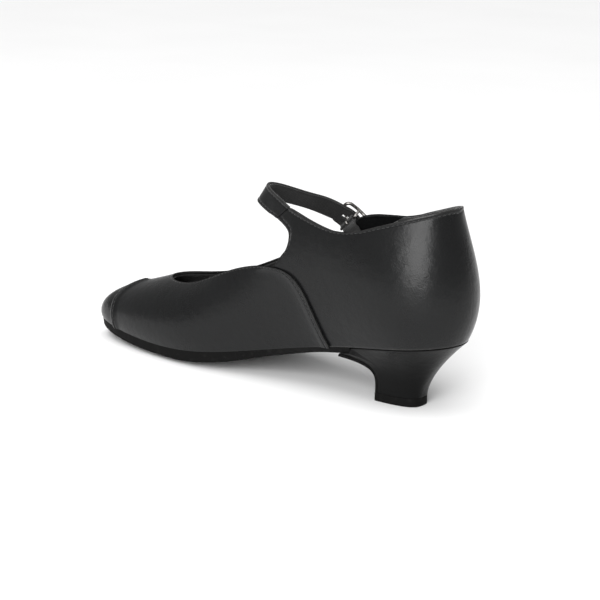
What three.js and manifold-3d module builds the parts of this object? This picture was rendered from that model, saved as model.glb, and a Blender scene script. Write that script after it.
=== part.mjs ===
// A low-heeled strap shoe for the right foot, built in layers over one last.
// Millimetres, +Z up, +X towards the toe, +Y towards the inner side of the foot.
import * as THREE from 'three';
import { mergeVertices } from 'three/addons/utils/BufferGeometryUtils.js';
import Module from 'manifold-3d';

const wasm = await Module();
wasm.setup();

// ---- driving dimensions ----
const lastLength = 243.3; // heel curve to toe point, along the feather edge
const ballWidth = 67; // across the last at the ball
const seatHeight = 36.7; // feather edge above the floor at the back
const crestPeak = 118; // highest line of the last, over the ankle
const toeSwing = 5.5; // how far the toe's crest lies towards the inner side
const soleThickness = 5.3; // outsole edge at the ball
const waistThickness = 3;
const soleBelly = 2.1; // how far the tread bulges below the sole's edge
const leather = 1.2;
const lining = 0.9;
const stiffener = 0.8; // toe puff and heel counter
const gap = 0.4; // running clearance between neighbouring layers
const boardThickness = 2;
const sockThickness = 0.8;
const fillerThickness = 1.6;
const shankWidth = 12;
const shankThickness = 1.2;
const topPieceThickness = 4;
const tipBack = 31; // heel tip, from the back of the last
const tipFront = 52.4;
const tipHalfWidth = 10;
const coverThickness = 0.8;
const flapThickness = 1.3;
const strapWidth = 10.6;
const strapThickness = 1.1;
const strapLiningThickness = 0.6;
const strapTail = 19.5; // strap beyond the buckle's upper rail
const strapWave = 1.1; // how far the strap bends over the centre bar
const barSpacing = 7.5; // upper rail to centre bar, and centre bar to lower rail
const barRadius = 0.75;
const railRadius = 0.9;
const railClearance = 0.75;
const frameClearance = 1; // between the strap's edge and a side rail
const frameArch = 1.3;
const prongRadius = 0.55;
const prongSlot = 2.4;
const tabWidth = 9.4;
const tabThickness = 0.7;
const pinRadius = 1.4;
const nailRadius = 0.9;
const screwRadius = 1.9;

// ---- the last ----
// Cross-sections from the toe point to the back of the heel: feather edge, then crest.
// along, crestAlong: share of lastLength; inner, outer, crestInner: share of ballWidth;
// climb: share of the rise from tread to seat; crest: share of crestPeak;
// lean: degrees that the wall leans out; rise, reach: the curve's pull at the feather
// edge and at the crest; droop: degrees that the crest falls away.
const treadHeight = soleThickness + soleBelly + gap;
const sections = [
  // along inner outer climb  crestAlong crest crestInner lean rise reach droop
  [1.0, 0.119, -0.119, 0.134, 0.917, 0.264, 0, 15, 8.5, 12.5, 0],
  [0.986, 0.239, -0.008, 0.117, 0.905, 0.274, 0, 17, 9.5, 13, 0],
  [0.917, 0.358, 0.202, 0.055, 0.862, 0.303, 0, 22, 13, 15, 0],
  [0.794, 0.44, 0.403, 0, 0.776, 0.365, 0, 24, 17, 20, 0],
  [0.642, 0.448, 0.552, 0.062, 0.658, 0.489, 0, 22, 22, 24, 4],
  [0.47, 0.328, 0.478, 0.338, 0.526, 0.77, 0, 22, 32, 24, 10],
  [0.282, 0.306, 0.388, 0.69, 0.347, 1, 0.179, 24, 34, 30, 60],
  [0.114, 0.328, 0.336, 0.931, 0.142, 0.974, 0.224, 26, 30, 30, 78],
  [0.038, 0, 0, 1, 0.069, 0.96, 0, 25, 29, 27, 82],
];
const back = sections.length - 1;

// A smooth curve through points of any dimension, one unit of t from each to the next.
function smoothCurve(points, closed = false) {
  const n = points.length;
  const width = points[0].length;
  let hull = points.map((p) => [...p]);
  const hullAt = (k) => {
    if (closed) return hull[((k % n) + n) % n];
    if (k < 0) return hull[0].map((v, i) => 2 * v - hull[1][i]);
    if (k >= n) return hull[n - 1].map((v, i) => 2 * v - hull[n - 2][i]);
    return hull[k];
  };
  for (let pass = 0; pass < 30; pass++) {
    hull = hull.map((c, k) =>
      c.map((v, i) => v + points[k][i] - (hullAt(k - 1)[i] + 4 * v + hullAt(k + 1)[i]) / 6),
    );
  }
  return (t) => {
    const k = closed ? Math.floor(t) : THREE.MathUtils.clamp(Math.floor(t), 0, n - 2);
    const f = t - k;
    const weights = [
      (1 - f) ** 3,
      3 * f ** 3 - 6 * f ** 2 + 4,
      -3 * f ** 3 + 3 * f ** 2 + 3 * f + 1,
      f ** 3,
    ];
    return Array.from({ length: width }, (_, i) =>
      weights.reduce((sum, w, j) => sum + (w * hullAt(k + j - 1)[i]) / 6, 0),
    );
  };
}

const edgeHeight = (climb) => treadHeight + (seatHeight - treadHeight) * climb;
const loop = [];
for (let k = 0; k <= back; k++) loop.push([1, sections[k]]);
for (let k = back - 1; k > 0; k--) loop.push([-1, sections[k]]);
const feather = smoothCurve(
  loop.map(([side, s]) => [
    s[0] * lastLength,
    (side > 0 ? s[1] : -s[2]) * ballWidth,
    edgeHeight(s[3]),
  ]),
  true,
);
const around = (side, p) => (side > 0 ? p : 2 * back - p);
const crestLoop = smoothCurve(
  loop.map(([side, s]) => [s[4] * lastLength, side * s[6] * ballWidth, s[5] * crestPeak]),
  true,
);
// The two sides share one crest line from the toe to the instep, and part behind it.
function crest(side, p) {
  const [x, y, z] = crestLoop(around(side, p));
  const parting = THREE.MathUtils.smoothstep(p, 3.5, 5);
  const swing = THREE.MathUtils.clamp((x / lastLength - 0.6) / 0.31, 0, 1) ** 1.2;
  return new THREE.Vector3(x, y * parting + toeSwing * swing, z);
}
const shaping = smoothCurve(loop.map(([, s]) => s.slice(7)), true);
const crestLine = smoothCurve(sections.map((s) => [s[4] * lastLength, s[5] * crestPeak]));

// The outward direction, level, at a place on the feather edge.
function outward(t) {
  const a = feather(t - 1e-3);
  const b = feather(t + 1e-3);
  return new THREE.Vector3(b[1] - a[1], a[0] - b[0], 0).normalize();
}

// A point of the last's surface: side 1 is inner and -1 outer, p runs through the
// sections from the toe to the back, and q from the feather edge (0) to the crest (1).
function lastPoint(side, p, q) {
  const t = around(side, p);
  const foot = new THREE.Vector3(...feather(t));
  const top = crest(side, p);
  const [lean, rise, reach, droop] = shaping(t);
  const out = outward(t);
  const leanBy = THREE.MathUtils.degToRad(lean);
  const droopBy = THREE.MathUtils.degToRad(droop);
  const near = THREE.MathUtils.clamp(p, 1e-3, back - 1e-3);
  const before = crestLine(near - 1e-3);
  const after = crestLine(near + 1e-3);
  const slope = THREE.MathUtils.clamp((after[1] - before[1]) / (after[0] - before[0]), -1.3, 0.5);
  const low = foot
    .clone()
    .addScaledVector(out, rise * Math.sin(leanBy))
    .add(new THREE.Vector3(0, 0, rise * Math.cos(leanBy)));
  const high = top
    .clone()
    .addScaledVector(out, reach * Math.cos(droopBy))
    .add(new THREE.Vector3(0, 0, reach * (out.x * slope * Math.cos(droopBy) - Math.sin(droopBy))));
  return new THREE.CubicBezierCurve3(foot, low, high, top).getPoint(q);
}

function sideNormal(side, p, q) {
  const d = 1e-3;
  const along = lastPoint(side, p + d, q).sub(lastPoint(side, p - d, q));
  const up = lastPoint(side, p, q + d).sub(lastPoint(side, p, q - d));
  return along.cross(up).normalize().multiplyScalar(side);
}

// The crest itself takes the mean of its two sides, so that the layers meet there.
function lastNormal(side, p, q) {
  if (q < 0.999) return sideNormal(side, p, Math.min(q, 0.985));
  return sideNormal(1, p, 0.97).add(sideNormal(-1, p, 0.97)).normalize();
}

const under = (side, p, q, depth) =>
  lastPoint(side, p, q).addScaledVector(lastNormal(side, p, q), -depth);

// ---- edges of the panels, as [p, q] on the last ----
// An edge is one or more smooth runs joined at corners; u goes from 0 to 1 over them.
function edgeLine(runs) {
  const curves = runs.map(([upTo, points]) => [upTo, smoothCurve(points), points.length - 1]);
  return (u) => {
    let from = 0;
    for (const [upTo, curve, spans] of curves) {
      if (u <= upTo + 1e-9) {
        return curve(THREE.MathUtils.clamp((u - from) / (upTo - from), 0, 1) * spans);
      }
      from = upTo;
    }
    return curves[curves.length - 1][1](curves[curves.length - 1][2]);
  };
}

// Panels that share a seam are divided alike along it.
const seamSteps = 5;
const toplineSteps = 10;
const featherSteps = 12;
const neckSteps = 9;
const quarterSteps = featherSteps + seamSteps + neckSteps;
const seamFoot = [5.85, 0]; // where the vamp and the quarters meet the sole
const lobe = [5.23, 0.442]; // the rear corner of the vamp's topline
const throat = [2.75, 1];
const capLow = [[2.05, 0], [2.0, 0.14], [1.9, 0.28], [1.77, 0.41]];
const capHigh = [[1.63, 0.56], [1.51, 0.71], [1.44, 0.86], [1.41, 1]];
const capSeam = edgeLine([[1, [...capLow, ...capHigh]]]);
const quarterSeam = [seamFoot, [5.8, 0.09], [5.73, 0.22], [5.64, 0.33], [5.48, 0.405], lobe];
const wave = [[4.83, 0.487], [4.33, 0.563], [3.87, 0.638], [3.31, 0.734], [2.93, 0.87]];
const vampTopline = [lobe, ...wave, throat];
const vampRear = edgeLine([[seamSteps / (seamSteps + toplineSteps), quarterSeam], [1, vampTopline]]);

const featherRun = [[back, 0], [7.2, 0], [6.5, 0], seamFoot];
const strapSeam = { low: [5.29, 0.719], high: [5.51, 0.769] };
const neckFront = [lobe, [5.38, 0.49], [5.49, 0.54], [5.535, 0.6], [5.48, 0.65], strapSeam.low];
const seamStart = featherSteps / quarterSteps;
const neckStart = (featherSteps + seamSteps) / quarterSteps;
const innerBottom = edgeLine([[seamStart, featherRun], [neckStart, quarterSeam], [1, neckFront]]);
const toplineDip = [6.54, 0.693];
const heelTopline = [[back, 0.88], [7.7, 0.884], [7.24, 0.854], [6.86, 0.779], toplineDip];
const innerTopline = edgeLine([
  [0.5, heelTopline],
  [1, [toplineDip, [6.3, 0.648], [6.08, 0.653], [5.81, 0.698], strapSeam.high]],
]);
const neckEnd = { low: [5.34, 0.497], high: [5.61, 0.58] };
const outerFront = [lobe, [5.28, 0.468], neckEnd.low];
const outerBottom = edgeLine([[seamStart, featherRun], [neckStart, quarterSeam], [1, outerFront]]);
const outerTopline = edgeLine([
  [0.5, heelTopline],
  [1, [toplineDip, [6.32, 0.652], [6.08, 0.638], [5.82, 0.622], neckEnd.high]],
]);

const mix = (a, b, f) => a.map((v, i) => v + (b[i] - v) * f);

// ---- solids ----
function closedMesh(name, points, triangles, finish) {
  const loose = new THREE.BufferGeometry().setFromPoints(points);
  loose.setIndex(triangles.flat());
  const geometry = mergeVertices(loose, 1e-3);
  const index = geometry.index.array;
  const kept = [];
  for (let i = 0; i < index.length; i += 3) {
    const [a, b, c] = index.slice(i, i + 3);
    if (a !== b && b !== c && a !== c) kept.push(a, b, c);
  }
  geometry.setIndex(kept);
  if (signedVolume(geometry) < 0) {
    for (let i = 0; i < kept.length; i += 3) [kept[i + 1], kept[i + 2]] = [kept[i + 2], kept[i + 1]];
    geometry.setIndex(kept);
  }
  geometry.computeVertexNormals();
  const mesh = new THREE.Mesh(geometry, finish);
  mesh.name = name;
  return mesh;
}

function signedVolume(geometry) {
  const at = geometry.attributes.position;
  const index = geometry.index.array;
  const [a, b, c] = [new THREE.Vector3(), new THREE.Vector3(), new THREE.Vector3()];
  let volume = 0;
  for (let i = 0; i < index.length; i += 3) {
    a.fromBufferAttribute(at, index[i]);
    b.fromBufferAttribute(at, index[i + 1]);
    c.fromBufferAttribute(at, index[i + 2]);
    volume += a.dot(b.cross(c)) / 6;
  }
  return volume;
}

// A closed sheet between an outer and an inner face, each a grid of columns by rows.
// sewn leaves out the wall along the last row, where the two halves meet.
function sheet(name, columns, rows, outerAt, innerAt, finish, sewn = false) {
  const points = [];
  const triangles = [];
  const grid = [outerAt, innerAt].map((at) => {
    const ids = [];
    for (let i = 0; i <= columns; i++) {
      ids.push([]);
      for (let j = 0; j <= rows; j++) {
        ids[i].push(points.length);
        points.push(at(i / columns, j / rows));
      }
    }
    return ids;
  });
  const quad = (a, b, c, d) => triangles.push([a, b, c], [a, c, d]);
  const [outer, inner] = grid;
  for (let i = 0; i < columns; i++) {
    for (let j = 0; j < rows; j++) {
      quad(outer[i][j], outer[i + 1][j], outer[i + 1][j + 1], outer[i][j + 1]);
      quad(inner[i][j], inner[i][j + 1], inner[i + 1][j + 1], inner[i + 1][j]);
    }
    quad(outer[i][0], inner[i][0], inner[i + 1][0], outer[i + 1][0]);
    if (!sewn) quad(outer[i][rows], outer[i + 1][rows], inner[i + 1][rows], inner[i][rows]);
  }
  for (let j = 0; j < rows; j++) {
    quad(outer[0][j], outer[0][j + 1], inner[0][j + 1], inner[0][j]);
    quad(outer[columns][j], inner[columns][j], inner[columns][j + 1], outer[columns][j + 1]);
  }
  return closedMesh(name, points, triangles, finish);
}

// A layer of the upper: spot gives [side, p, q], and top and thick its depth and thickness.
function layer(name, columns, rows, spot, top, thick, finish, sewn = false) {
  const face = (depth) => (u, v) => {
    const [side, p, q] = spot(u, v);
    return under(side, p, q, depth(side, p, q));
  };
  const base = (s, p, q) => top(s, p, q) + thick;
  return sheet(name, columns, rows, face(top), face(base), finish, sewn);
}

// Round the toe: from the outer side, past the toe point, to the inner side.
const hood = (rear, from = 0) => (u, v) => {
  const a = 2 * u - 1;
  const q = from + (1 - from) * v;
  const [p, height] = mix([0, q], rear(q), Math.abs(a));
  return [a < 0 ? -1 : 1, p, height];
};
// Over the foot: from the outer feather edge, over the crest, to the inner one.
const saddle = (front, rear) => (u, v) => {
  const a = 2 * u - 1;
  const [p, q] = mix(front(1 - Math.abs(a)), rear(1 - Math.abs(a)), v);
  return [a < 0 ? -1 : 1, p, q];
};
const flank = (side, bottom, top) => (u, v) => [side, ...mix(bottom(u), top(u), v)];

const look = (color, roughness, metalness = 0) =>
  new THREE.MeshStandardMaterial({ color, roughness, metalness });
const blackLeather = () => look(0x1c1c1f, 0.42);
const textile = () => look(0x111112, 0.85);
const fibreboard = () => look(0x8a7352, 0.9);
const cork = () => look(0x9c7a50, 0.95);
const rubber = () => look(0x121213, 0.7);
const steel = () => look(0x9a9c9e, 0.35, 1);
const nickel = () => look(0x8d8a80, 0.3, 1);
const plastic = () => look(0x2a2a2c, 0.6);

const shoe = new THREE.Group();
const flat = (depth) => () => depth;
const ease = THREE.MathUtils.smoothstep;

// ---- upper ----
const seamGap = 0.016; // of a station, left open at a seam between two panels
const setBack = (edge, dp) => (u) => {
  const [p, q] = edge(u);
  return [p + dp, q];
};
const sideSteps = seamSteps + toplineSteps;
const vampRows = Math.ceil(ballWidth / 8.4);
const capSpot = hood(setBack(capSeam, -seamGap));
shoe.add(layer('toe_cap', 16, sideSteps, capSpot, flat(0), leather, blackLeather(), true));
const vampSpot = saddle(setBack(capSeam, seamGap), setBack(vampRear, -seamGap));
shoe.add(layer('vamp', 2 * sideSteps, vampRows, vampSpot, flat(0), leather, blackLeather()));
const backGap = 0.02;
const fromBack = (edge) => (u) => {
  const [p, q] = edge(u);
  return [Math.min(p, back - backGap), q];
};
function quarter(name, side, bottom, top) {
  const spot = flank(side, fromBack(bottom), fromBack(top));
  return layer(name, quarterSteps, 8, spot, flat(0), leather, blackLeather());
}
shoe.add(quarter('quarter_inner', 1, innerBottom, innerTopline));
shoe.add(quarter('quarter_outer', -1, outerBottom, outerTopline));

// ---- stiffeners ----
const stiffenerTop = flat(leather + gap);
const puffEdge = (q) => [capSeam(q)[0] - 0.25, q];
const puffFoot = 0.04;
const puffSpot = hood(puffEdge, puffFoot);
shoe.add(layer('toe_puff', 16, 8, puffSpot, stiffenerTop, stiffener, fibreboard(), true));
const counterReach = 1.72; // sections forward of the back
const counterFoot = 0.03;
const counterTop = (a) => 0.78 - 0.3 * a ** 2;
const counter = (u, v) => {
  const a = 2 * u - 1;
  const q = counterFoot + (counterTop(a) - counterFoot) * v;
  return [a < 0 ? -1 : 1, back - counterReach * Math.abs(a), q];
};
shoe.add(layer('heel_counter', 22, 6, counter, stiffenerTop, stiffener, fibreboard()));

// ---- lining: it lies under the leather, and steps in under the stiffeners ----
const overStiffener = leather + stiffener + 2 * gap;
const toeStep = (p) => 1 - ease(p, 2.0, 2.5);
const heelStep = (p) => ease(p, back - counterReach - 0.35, back - counterReach - 0.02);
const liningTop = (side, p) =>
  leather + gap + (overStiffener - leather - gap) * Math.max(toeStep(p), heelStep(p));
const liningFoot = 0.02;
const vampLiningSpot = hood(setBack(vampRear, -2.5 * seamGap), liningFoot);
shoe.add(layer('vamp_lining', 3 * vampRows, sideSteps, vampLiningSpot, liningTop, lining, textile(), true));
const raised = (edge) => (u) => {
  const [p, q] = fromBack(edge)(u);
  return [p, Math.max(q, liningFoot)];
};
function quarterLining(name, side, bottom, top, steps) {
  const spot = flank(side, raised(bottom), raised(top));
  return layer(name, steps, 8, spot, liningTop, lining, textile());
}
shoe.add(quarterLining('quarter_lining_inner', 1, innerBottom, innerTopline, quarterSteps));
// The outer lining stops short of the buckle's tab, which is sewn in beside it.
const shortSteps = featherSteps + seamSteps - 1;
const shortened = (edge) => (u) => edge((u * shortSteps) / quarterSteps);
const shortBottom = shortened(outerBottom);
const shortTop = shortened(outerTopline);
shoe.add(quarterLining('quarter_lining_outer', -1, shortBottom, shortTop, shortSteps));

// ---- bottom: each plate is measured up or down from the feather edge ----
const plan = (side, p, inset) =>
  new THREE.Vector3(...feather(around(side, p))).addScaledVector(outward(around(side, p)), -inset);

function plate(name, from, to, steps, inset, bottomAt, topAt, finish, across = 1) {
  const face = (height) => (u, v) => {
    const p = from + (to - from) * u;
    const point = plan(-1, p, inset(p)).lerp(plan(1, p, inset(p)), v);
    point.z += height(p, 2 * v - 1);
    return point;
  };
  return sheet(name, steps, across, face(topAt), face(bottomAt), finish);
}

const soleEnd = 6.12;
const toeSole = 4; // outsole edge at the toe
const treadCut = 0.3; // the tread is ground flat by this much
function soleDepth(p, a) {
  const edge = toeSole
    + (soleThickness - toeSole) * ease(p, 0.3, 2.6)
    + 0.7 * ease(p, 3.2, 3.9) * (1 - ease(p, 4.2, 5))
    + (waistThickness - soleThickness) * ease(p, 4.2, 5.8);
  const belly = (soleBelly + treadCut) * ease(p, 0.8, 2.7) * (1 - ease(p, 4.3, 5.6));
  return edge + belly * (1 - a ** 2);
}
const edgeAt = (p) => feather(p)[2];
const soleTop = -gap;
const soleBottom = (p, a) => Math.max(soleTop - soleDepth(p, a), -edgeAt(p));
const soleInset = 0.4;
shoe.add(plate('outsole', 0, soleEnd, 30, flat(soleInset), soleBottom, flat(soleTop), rubber(), 4));

const fillerBottom = 0.1;
const fillerTop = fillerBottom + fillerThickness;
const boardInset = overStiffener + lining + gap;
const fillerInset = boardInset + 2.9;
const boardBottom = fillerTop + gap;
const boardTop = boardBottom + boardThickness;
const sockBottom = boardTop + gap;
const sockTop = sockBottom + sockThickness;
const toeRoom = (p) => 0.9 * (1 - ease(p, 0.7, 1.9)); // the lining closes in at the toe
const boardEdge = (p) => boardInset + toeRoom(p);
const sockEdge = (p) => boardEdge(p) - 0.2;
const filler = [0.9, 3.75, 20, flat(fillerInset), flat(fillerBottom), flat(fillerTop)];
shoe.add(plate('bottom_filler', ...filler, cork()));
shoe.add(plate('sock_liner', 1, 7.97, 28, sockEdge, flat(sockBottom), flat(sockTop), textile()));

// The shank is a spring-steel strip down the middle of the waist.
const shankFrom = 3.9;
const shankTo = 6.75;
function shankFace(height) {
  return (u, v) => {
    const p = shankFrom + (shankTo - shankFrom) * u;
    const point = plan(-1, p, 0).lerp(plan(1, p, 0), 0.5);
    return point.add(new THREE.Vector3(0, (v - 0.5) * shankWidth, height));
  };
}
const shankBottom = fillerBottom + 0.1;
const shankTop = shankBottom + shankThickness;
const shankStrip = sheet('shank', 18, 2, shankFace(shankTop), shankFace(shankBottom), steel());

// ---- solids cut with manifold-3d ----
function toSolid(geometry) {
  const bare = geometry.index ? geometry.toNonIndexed() : geometry.clone();
  bare.deleteAttribute('normal');
  bare.deleteAttribute('uv');
  const merged = mergeVertices(bare, 1e-4);
  return new wasm.Manifold(new wasm.Mesh({
    numProp: 3,
    vertProperties: merged.attributes.position.array,
    triVerts: new Uint32Array(merged.index.array),
  }));
}
function fromSolid(name, solid, finish) {
  const data = solid.getMesh();
  const geometry = new THREE.BufferGeometry();
  geometry.setAttribute('position', new THREE.BufferAttribute(data.vertProperties, 3));
  geometry.setIndex(new THREE.BufferAttribute(data.triVerts, 1));
  geometry.computeVertexNormals();
  const mesh = new THREE.Mesh(geometry, finish);
  mesh.name = name;
  return mesh;
}
function upright(radius, bottom, top, x, y) {
  return new THREE.CylinderGeometry(radius, radius, top - bottom, 10)
    .rotateX(Math.PI / 2)
    .translate(x, y, (top + bottom) / 2);
}
function cutFrom(mesh, cutters) {
  let solid = toSolid(mesh.geometry);
  for (const cutter of cutters) solid = solid.subtract(toSolid(cutter));
  return fromSolid(mesh.name, solid, mesh.material);
}

// ---- heel ----
const breast = 5.97; // where the heel's front comes up to the sole
const heelBottom = topPieceThickness + gap;
const seatSteps = 12;
const tuckFrom = 0.875; // share of the way forward at which the heel's top drops under the sole
function seatPoint(a, inset) {
  const p = back - (back - breast) * Math.abs(a);
  const point = plan(a < 0 ? -1 : 1, p, inset);
  point.z -= gap + (Math.abs(a) > tuckFrom ? soleDepth(p, 1) + gap : 0);
  return point;
}
function tipPoint(a, inset, front, z) {
  const turn = (Math.abs(a) * Math.PI) / 2;
  const rear = tipBack + inset;
  const x = front - (front - rear) * Math.cos(turn) ** 0.75;
  const y = Math.sign(a) * (tipHalfWidth - inset) * Math.sin(turn) ** 0.65;
  return new THREE.Vector3(x, y, z);
}
function heelPoint(a, h, inset) {
  const waisting = 1.57 + 2.1 * a ** 2;
  const low = tipPoint(a, inset, tipFront, heelBottom);
  const high = seatPoint(a, inset);
  const point = low.clone().lerp(high, h ** waisting);
  point.z = low.z + (high.z - low.z) * h;
  return point;
}
const blockInset = coverThickness + gap;
const heelRows = 7;
const blockSide = (side) => (u, v) => heelPoint(side * u, v, blockInset);
const block = sheet('heel_block', seatSteps, heelRows, blockSide(-1), blockSide(1), plastic());
const coverFace = (inset) => (u, v) => heelPoint(2 * u - 1, v, inset);
const coverBase = coverFace(coverThickness);
shoe.add(sheet('heel_cover', 2 * seatSteps, heelRows, coverFace(0), coverBase, blackLeather()));

function breastPoint(v, h, forward) {
  const at = (a, b) => heelPoint(-1, b, 0).lerp(heelPoint(1, b, 0), a);
  const d = 1e-3;
  const middle = THREE.MathUtils.clamp(h, d, 1 - d);
  const up = at(v, middle + d).sub(at(v, middle - d));
  const across = at(1, h).sub(at(0, h));
  return at(v, h).addScaledVector(across.cross(up).normalize(), forward);
}
const flapFace = (forward) => (u, v) => breastPoint(u, v, forward);
const flapFront = flapFace(gap + flapThickness);
shoe.add(sheet('breast_flap', 4, heelRows + 3, flapFront, flapFace(gap), rubber()));

const tipEnd = tipFront + gap + flapThickness;
const topPieceSide = (side) => (u, v) => tipPoint(side * u, 0, tipEnd, v * topPieceThickness);
const topPiece = sheet('top_piece', seatSteps, 1, topPieceSide(-1), topPieceSide(1), rubber());

// Steel pins hold the top piece; a screw and four nails hold the heel to the insole board.
const tipPlace = (share) => [tipBack + (tipFront - tipBack) * share, 0];
const pinPlaces = [tipPlace(0.28), tipPlace(0.75)];
const pinBottom = 0.3 * topPieceThickness;
const pinTop = heelBottom + 10.6;
const seatTop = (x) => {
  let p = 5;
  while (feather(p)[0] > x && p < back) p += 0.01;
  return edgeAt(p) + boardTop;
};
const holeGap = 0.3;
const screwPlace = tipPlace(0.47);
const nailPlaces = [];
for (const [share, y] of [[1.07, 9], [0, 6.5]]) {
  nailPlaces.push([tipPlace(share)[0], y], [tipPlace(share)[0], -y]);
}
const headSink = 0.55; // heads lie below the board's sloping top
function fastener(size, [x, y], grow) {
  const top = seatTop(x) - headSink;
  const underHead = top - size.headHeight;
  return [
    upright(size.radius + grow, top - size.length - grow, top - size.headHeight / 2, x, y),
    upright(size.headRadius + grow, underHead - grow, top + 4 * grow, x, y),
  ];
}
const screwSize = { radius: screwRadius, headRadius: screwRadius + 1.5, headHeight: 1.2, length: 21.5 };
const nailSize = { radius: nailRadius, headRadius: nailRadius + 1.1, headHeight: 0.7, length: 17.8 };
const fasteners = [{ name: 'heel_screw', at: screwPlace, size: screwSize }];
nailPlaces.forEach((at, k) => fasteners.push({ name: `heel_nail_${k + 1}`, at, size: nailSize }));
const cutters = [];
for (const { name, at, size } of fasteners) {
  const [shaft, head] = fastener(size, at, 0).map(toSolid);
  shoe.add(fromSolid(name, shaft.add(head), steel()));
  cutters.push(...fastener(size, at, holeGap));
}
const pin = ([x, y], grow) => upright(pinRadius + grow, pinBottom - grow, pinTop + grow, x, y);
pinPlaces.forEach((place, k) => {
  shoe.add(fromSolid(`top_piece_pin_${k + 1}`, toSolid(pin(place, 0)), steel()));
});
const pinHoles = pinPlaces.map((place) => pin(place, holeGap));
shoe.add(cutFrom(block, [...cutters, ...pinHoles]));
shoe.add(cutFrom(topPiece, pinHoles));
const boardPlan = [0.5, 7.95, 26, boardEdge, flat(boardBottom), flat(boardTop)];
shoe.add(cutFrom(plate('insole_board', ...boardPlan, fibreboard()), cutters));
shoe.add(cutFrom(shankStrip, cutters));

// ---- strap ----
// The middle of the strap's outer face, from its seam on the inner quarter to the buckle.
const seamLow = lastPoint(1, ...strapSeam.low);
const seamHigh = lastPoint(1, ...strapSeam.high);
const seamMiddle = seamLow.clone().lerp(seamHigh, 0.5);
// Over the outer quarter the strap runs straight, past its neck's tip and down it.
const tailStart = under(-1, 5.39, 0.64, -3.14);
const tailAim = under(-1, 5.58, 0.48, -4.755);
const tailWay = tailAim.sub(tailStart).normalize();
// The strap's width leans back from level by this many degrees, here and at each point.
const tailTilt = 47;
const levelWidth = (tilt) => {
  const lean = THREE.MathUtils.degToRad(tilt);
  return new THREE.Vector3(-Math.cos(lean), 0, Math.sin(lean));
};
const squared = (width, way) => width.addScaledVector(way, -width.dot(way)).normalize();
const tailWidth = squared(levelWidth(tailTilt), tailWay);
const tailOut = tailWidth.clone().cross(tailWay).normalize();
const neckTip = lastPoint(-1, ...mix(neckEnd.low, neckEnd.high, 0.5));
const barReach = 3.4; // from the neck's tip to the centre bar
const barAside = 1.67;
const strapStack = strapThickness + gap + strapLiningThickness;
// The tail rises over the centre bar, and s is its distance from the upper rail.
const waveAt = (s) => -strapWave * Math.cos((Math.PI * Math.min(s, 2 * barSpacing)) / barSpacing);
// How high the tail's line has to lie for the strap to clear the quarter below it.
function tailHeight() {
  const clearance = 0.458;
  let height = 0;
  for (let u = neckStart - 0.2; u <= 1; u += 0.01) {
    for (let v = 0; v <= 1; v += 0.1) {
      const offset = lastPoint(...flank(-1, outerBottom, outerTopline)(u, v)).sub(neckTip);
      const s = offset.dot(tailWay) + barReach + barSpacing;
      const aside = Math.abs(offset.dot(tailWidth) - barAside);
      if (aside > strapWidth / 2 || s > strapTail) continue;
      height = Math.max(height, offset.dot(tailOut) - waveAt(s) + strapStack + clearance);
    }
  }
  return height;
}
const tailLine = tailHeight();
const railPlace = neckTip.clone()
  .addScaledVector(tailWay, -barReach - barSpacing)
  .addScaledVector(tailWidth, barAside)
  .addScaledVector(tailOut, tailLine);
const onTail = (s, lift) =>
  railPlace.clone().addScaledVector(tailWay, s).addScaledVector(tailOut, lift);
// Over the instep it hangs free: shares of the last's length, ball width and crest height.
const freePoint = (along, side, height) =>
  new THREE.Vector3(along * lastLength, side * ballWidth, height * crestPeak);
const strapRun = [
  [seamMiddle, 41],
  [freePoint(0.519, 0.193, 0.82), 50],
  [freePoint(0.537, 0.022, 0.821), 60],
  [freePoint(0.508, -0.201, 0.78), 47],
  [freePoint(0.474, -0.334, 0.746), 48],
  [onTail(0, -strapWave), tailTilt],
  [onTail(barSpacing, strapWave), tailTilt],
  [onTail(2 * barSpacing, -strapWave), tailTilt],
  [onTail(strapTail, -strapWave), tailTilt],
];
const strapLine = smoothCurve(strapRun.map(([place, tilt]) => [...place.toArray(), tilt]));
const strapEnd = strapRun.length - 1;
// t runs along the strap, v from its lower edge (-1) to its upper edge (1).
function strapPoint(t, v, depth) {
  const [x, y, z, tilt] = strapLine(t);
  const behind = new THREE.Vector3(...strapLine(t - 1e-3));
  const way = new THREE.Vector3(...strapLine(t + 1e-3)).sub(behind).normalize();
  const width = squared(levelWidth(tilt), way);
  const out = width.clone().cross(way).normalize();
  const reach = width.multiplyScalar(strapWidth / 2);
  const alongSeam = seamHigh.clone().sub(seamLow).multiplyScalar(0.5);
  reach.lerp(alongSeam, 1 - ease(t, 0, 0.5));
  return new THREE.Vector3(x, y, z).addScaledVector(reach, v).addScaledVector(out, -depth);
}
const strapStart = 0.03;
const tipRounding = 0.6; // the strap's end is rounded over this much of t
const tipSpan = 0.75;
function band(name, from, to, narrow, depth, thickness, finish) {
  const face = (d) => (u, v) => {
    const t = from + (to - from) * u;
    const intoTip = Math.max(0, t - strapEnd + tipRounding) / tipSpan;
    return strapPoint(t, (2 * v - 1) * narrow * Math.sqrt(1 - intoTip ** 2), d);
  };
  return sheet(name, 42, 2, face(depth), face(depth + thickness), finish);
}
const strapLeather = band('strap', strapStart, strapEnd, 1, 0, strapThickness, blackLeather());
const backing = [strapStart + 0.03, strapEnd - 0.06, 0.96, strapThickness + gap, strapLiningThickness];
const strapBacking = band('strap_lining', ...backing, textile());

// ---- buckle, in its own frame: x down the tail, y towards the strap's lower edge, z out ----
const runGap = 0.3; // round the bar, the tab and the prong
const barLift = strapWave - strapStack - 2 * runGap - tabThickness - barRadius;
const railLift = -strapWave + railClearance + railRadius - barLift;
const barPlace = onTail(barSpacing, barLift);
const buckleFrame = new THREE.Matrix4()
  .makeBasis(tailWay, tailWidth.clone().negate(), tailOut)
  .setPosition(barPlace);
const seated = (geometry) => geometry.applyMatrix4(buckleFrame);
const sideReach = strapWidth / 2 + frameClearance + railRadius;
const corner = 2.4;
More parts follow.
